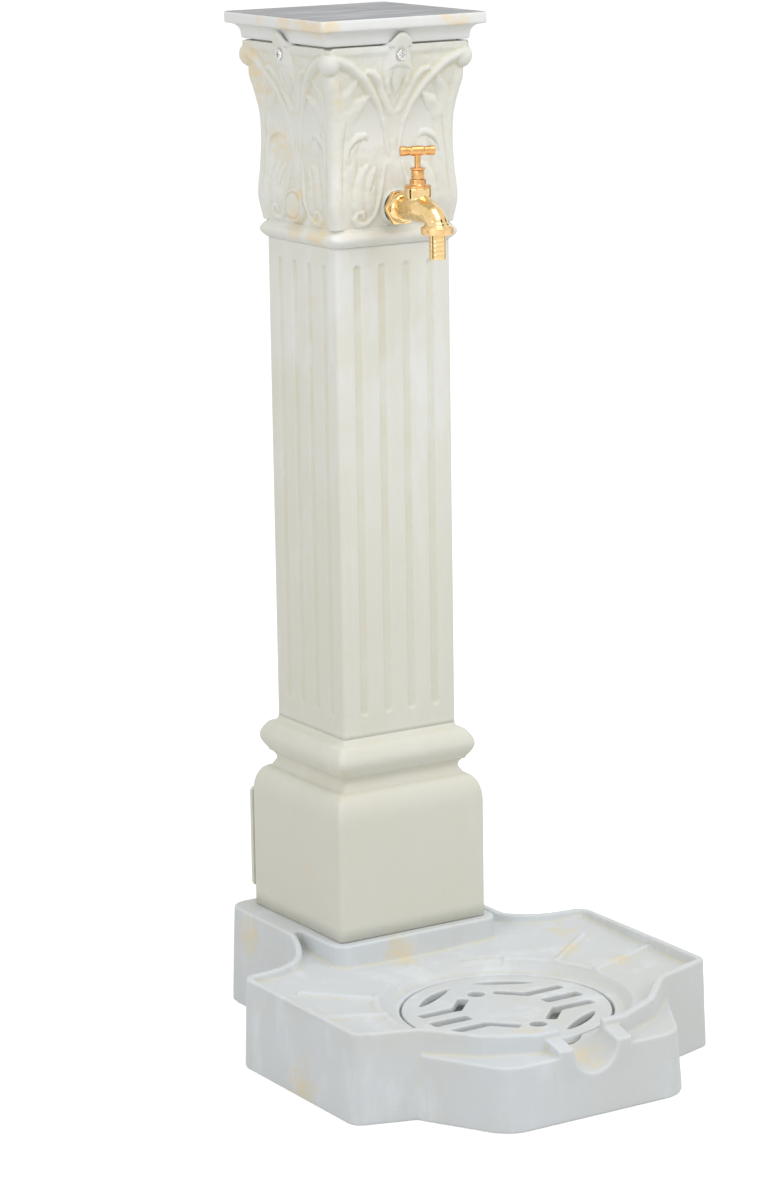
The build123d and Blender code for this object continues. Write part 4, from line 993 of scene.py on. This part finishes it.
hose = {"head": 745.2, "flangeFoot": 744, "flange": 12, "radius": 7.4, "dip": 0.16, "neck": 741, "foot": 720.8,
        "ridges": 5, "bore": 5, "rounding": 0.5}


def buildHose():
    s = hose
    points = [(s["bore"], s["foot"]), (s["bore"], s["head"]), (s["flange"], s["head"]),
              (s["flange"], s["flangeFoot"])]
    points += [(s["radius"], s["flangeFoot"])]
    pitch = (s["neck"] - s["foot"]) / s["ridges"]
    for i in range(s["ridges"]):
        level = s["neck"] - pitch * i
        points += [(s["radius"] - s["dip"] * 0.3, level), (s["radius"], level - pitch * 0.3)]
        points += [(s["radius"] - s["dip"] * 0.2, level - pitch * 0.62),
                   (s["radius"] - s["dip"], level - pitch * 0.85)]
    points += [(s["radius"] - s["dip"] * 1.6, s["foot"])]
    bm = spun(points, s["rounding"], upAt(spoutY))
    addPiece("hoseTail", bm, "polished_brass", "hose_tail", ["hose_tail"])


tapCast = {"voxel": 0.42 * mm, "rounds": 12, "keep": 0.5, "rounding": 0.3, "cut": 747.1,
           "flare": ((5.2, 745.6), (5.2, 752.6), (10.1, 753), (10.5, 751.5), (11.3, 750.3), (12.5, 749.5),
                     (12.5, 745.6)),
           "barrel": ((8.2, 768), (8.2, 781.1), (12.1, 781.1), (12.2, 771.6), (10, 770.4), (6, 768)),
           "chamber": (9.4, 764.5, 790),
           "tail": ((6, 40), (6, 103.4), (10.4, 103.4), (10.4, 59.5), (9.9, 57.6), (9.9, 40)),
           "spout": ((36.6, 763.4, 12.9), (34, 763, 12.9), (29.5, 762.6, 12.3), (24.9, 761.6, 11.4),
                     (18, 760, 10.5), (12.4, 757.6, 10.2), (9.4, 754.9, 10.1), (7.2, 752, 10.2),
                     (5.9, 749.4, 10.3), (5.6, 747, 10.3))}


def ballRun(balls, steps):
    # Balls set close along a run of (y, z, radius), for the remesh to melt together
    bm = bmesh.new()
    for first, second in zip(balls, balls[1:]):
        for i in range(steps):
            y, z, radius = (a + (b - a) * i / steps for a, b in zip(first, second))
            place = Matrix.Translation((0, y * mm, z * mm))
            bmesh.ops.create_uvsphere(bm, u_segments=32, v_segments=20, radius=radius * mm, matrix=place)
    return bm


def buildTapBody():
    # The casting's corners melt into each other, as on polished brass
    s = tapCast
    bm = spun(s["flare"], s["rounding"], upAt(spoutY))
    joined(bm, spun(s["barrel"], s["rounding"], upAt(stemY)))
    lay = Matrix.Translation((0, 0, tapZ * mm)) @ Matrix.Rotation(-math.pi / 2, 4, "X")
    joined(bm, spun(s["tail"], s["rounding"], lay))
    joined(bm, ballRun(s["spout"], 6))
    mesh = softened(bm, s["voxel"], s["rounds"], s["keep"])
    radius, low, high = (size * mm for size in s["chamber"])
    place = Matrix.Translation((0, stemY * mm, (low + high) / 2))
    bm = bmesh.new()
    bmesh.ops.create_cone(bm, cap_ends=True, segments=64, radius1=radius, radius2=radius, depth=high - low,
                          matrix=place)
    bit = linked("drill", meshOf("drill", bm))
    mesh = worked(mesh, "BOOLEAN", operation="DIFFERENCE", solver="EXACT", object=bit)
    bpy.data.objects.remove(bit)
    bm = bmesh.new()
    bm.from_mesh(mesh)
    bmesh.ops.bisect_plane(bm, geom=bm.verts[:] + bm.edges[:] + bm.faces[:], dist=fineGap,
                           plane_co=(0, 0, s["cut"] * mm), plane_no=(0, 0, -1), clear_outer=True)
    bmesh.ops.holes_fill(bm, edges=[e for e in bm.edges if e.is_boundary], sides=0)
    addPiece("tapCast", bm, "polished_brass", "standpipe", ["tap_body"])


wallNut = {"flats": 29.4, "thick": 5.4, "bore": 9.6, "bevel": 1.1, "rounding": 0.7,
           "dome": ((9.6, 0.5), (9.6, 10.2), (10.8, 10.2), (12.2, 8.9), (13.6, 6.4), (14.2, 4.6), (14.2, 0.5))}


def buildWallNut():
    s = wallNut
    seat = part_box("wall_nut")[1][1]
    place = Matrix.Translation((0, seat, tapZ * mm)) @ Matrix.Rotation(math.pi / 2, 4, "X")
    turned = place @ Matrix.Rotation(math.radians(30), 4, "Z")
    bm = hexagonPrism(s["flats"], s["thick"], s["bore"], turned, s["bevel"])
    joined(bm, spun(s["dome"], s["rounding"], place))
    addPiece("wallNutCast", bm, "polished_brass", "standpipe", ["wall_nut"])


buildTapBody()
buildWallNut()
buildBonnet()
buildGland()
buildHandle()
buildUnionRing()
buildHose()


# Stage, light and camera

stage = {"size": 14, "drop": 0.4 * mm, "shade": (0.66, 0.66, 0.66, 1), "glow": 0.58, "sky": 0.72}


def seenDirectly(finish):
    # One for rays from the camera and for mirrored and passed ones
    path = finish.tree.nodes.new("ShaderNodeLightPath")
    rays = [Wire(finish, path.outputs[k]) for k in ("Is Camera Ray", "Is Glossy Ray", "Is Transmission Ray")]
    return rays[0] + rays[1] + rays[2]


def buildStage():
    bm = bmesh.new()
    bmesh.ops.create_grid(bm, x_segments=2, y_segments=2, size=stage["size"])
    bmesh.ops.translate(bm, vec=(0, 0, -stage["drop"]), verts=bm.verts)
    mesh = meshOf("floor", bm)
    floor = linked("floor", mesh)
    f = Finish("paleFloor")
    diffuse = f.node("ShaderNodeBsdfDiffuse", values={"Color": stage["shade"]})
    glow = f.node("ShaderNodeEmission", values={"Strength": stage["glow"] * seenDirectly(f)})
    both = f.node("ShaderNodeAddShader", values={0: diffuse, 1: glow})
    f.node("ShaderNodeOutputMaterial", values={"Surface": both})
    mesh.materials.append(f.material)


def buildWorld():
    world = bpy.data.worlds.new("studio")
    bpy.context.scene.world = world
    world.use_nodes = True
    tree = world.node_tree
    tree.nodes.clear()
    shades = []
    for strength in (stage["sky"], 1):
        shade = tree.nodes.new("ShaderNodeBackground")
        shade.inputs["Color"].default_value = (1, 1, 1, 1)
        shade.inputs["Strength"].default_value = strength
        shades.append(shade)
    path = tree.nodes.new("ShaderNodeLightPath")
    mix = tree.nodes.new("ShaderNodeMixShader")
    out = tree.nodes.new("ShaderNodeOutputWorld")
    seen = path.outputs["Is Camera Ray"]
    for ray in ("Is Glossy Ray", "Is Transmission Ray"):
        either = tree.nodes.new("ShaderNodeMath")
        either.operation = "MAXIMUM"
        tree.links.new(seen, either.inputs[0])
        tree.links.new(path.outputs[ray], either.inputs[1])
        seen = either.outputs[0]
    tree.links.new(seen, mix.inputs[0])
    tree.links.new(shades[0].outputs[0], mix.inputs[1])
    tree.links.new(shades[1].outputs[0], mix.inputs[2])
    tree.links.new(mix.outputs[0], out.inputs[0])


# Dark cards that show only in mirrored rays
cards = {
    "cardRight": {"place": (1.3, 0.1, 0.75), "wide": 0.4, "tall": 1.1},
    "cardLeft": {"place": (-1.5, 0.3, 0.6), "wide": 0.4, "tall": 0.9},
    "cardFront": {"place": (1.1, -1.75, 1.8), "wide": 0.55, "tall": 1.5},
}


def buildCards():
    f = Finish("cardBlack")
    dark = f.node("ShaderNodeBsdfDiffuse", values={"Color": (0.02, 0.017, 0.012, 1)})
    f.node("ShaderNodeOutputMaterial", values={"Surface": dark})
    for name, s in cards.items():
        bm = bmesh.new()
        bmesh.ops.create_grid(bm, x_segments=1, y_segments=1, size=0.5)
        bmesh.ops.scale(bm, vec=(s["wide"], s["tall"], 1), verts=bm.verts)
        toward = Vector((0, 0, 0.76)) - Vector(s["place"])
        turn = toward.to_track_quat("Z", "Y").to_matrix().to_4x4()
        bmesh.ops.transform(bm, matrix=Matrix.Translation(s["place"]) @ turn, verts=bm.verts)
        mesh = meshOf(name, bm)
        mesh.materials.append(f.material)
        card = linked(name, mesh)
        card.visible_camera = False
        card.visible_diffuse = False
        card.visible_shadow = False
        card.visible_transmission = False


lamps = {
    "keyRight": {"place": (1.6, -2.6, 2.6), "aim": (0, 0, 0.5), "size": 1.8, "power": 25, "mirrored": False},
    "fillLeft": {"place": (-2.8, -1.0, 1.6), "aim": (0, 0, 0.5), "size": 1.6, "power": 16, "mirrored": True},
    "above": {"place": (0.0, -0.9, 2.7), "aim": (0, 0, 0.6), "size": 1.4, "power": 12.5, "mirrored": True},
}


def buildLamps():
    for name, s in lamps.items():
        data = bpy.data.lights.new(name, "AREA")
        data.shape = "SQUARE"
        data.size = s["size"]
        data.energy = s["power"]
        lamp = linked(name, data)
        lamp.visible_glossy = s["mirrored"]
        lamp.location = s["place"]
        lamp.rotation_euler = (Vector(s["aim"]) - Vector(s["place"])).to_track_quat("-Z", "Y").to_euler()


view = {"place": (-1.8483, -2.8806, 1.1841), "yaw": 31.876, "pitch": 12.176, "roll": -0.891,
        "focal": 3924.5, "frame": 1200, "sensor": 36, "middle": (389, 600), "axis": (390.8, 567.0)}


def buildCamera():
    s = view
    yaw, pitch, roll = (math.radians(s[k]) for k in ("yaw", "pitch", "roll"))
    ahead = Vector((math.sin(yaw) * math.cos(pitch), math.cos(yaw) * math.cos(pitch), -math.sin(pitch)))
    flat = Vector((math.cos(yaw), -math.sin(yaw), 0))
    upright = flat.cross(ahead)
    across = math.cos(roll) * flat + math.sin(roll) * upright
    upward = math.cos(roll) * upright - math.sin(roll) * flat
    data = bpy.data.cameras.new("photoCamera")
    data.sensor_fit = "AUTO"
    data.sensor_width = s["sensor"]
    data.lens = s["focal"] / s["frame"] * s["sensor"]
    data.shift_x = (s["middle"][0] - s["axis"][0]) / s["frame"]
    data.shift_y = (s["axis"][1] - s["middle"][1]) / s["frame"]
    camera = linked("photoCamera", data)
    turn = Matrix((across, upward, -ahead)).transposed().to_4x4()
    camera.matrix_world = Matrix.Translation(s["place"]) @ turn
    bpy.context.scene.camera = camera


buildStage()
buildWorld()
buildCards()
buildLamps()
buildCamera()
bpy.context.scene.view_settings.view_transform = "Standard"
print("stage, light and camera ready")
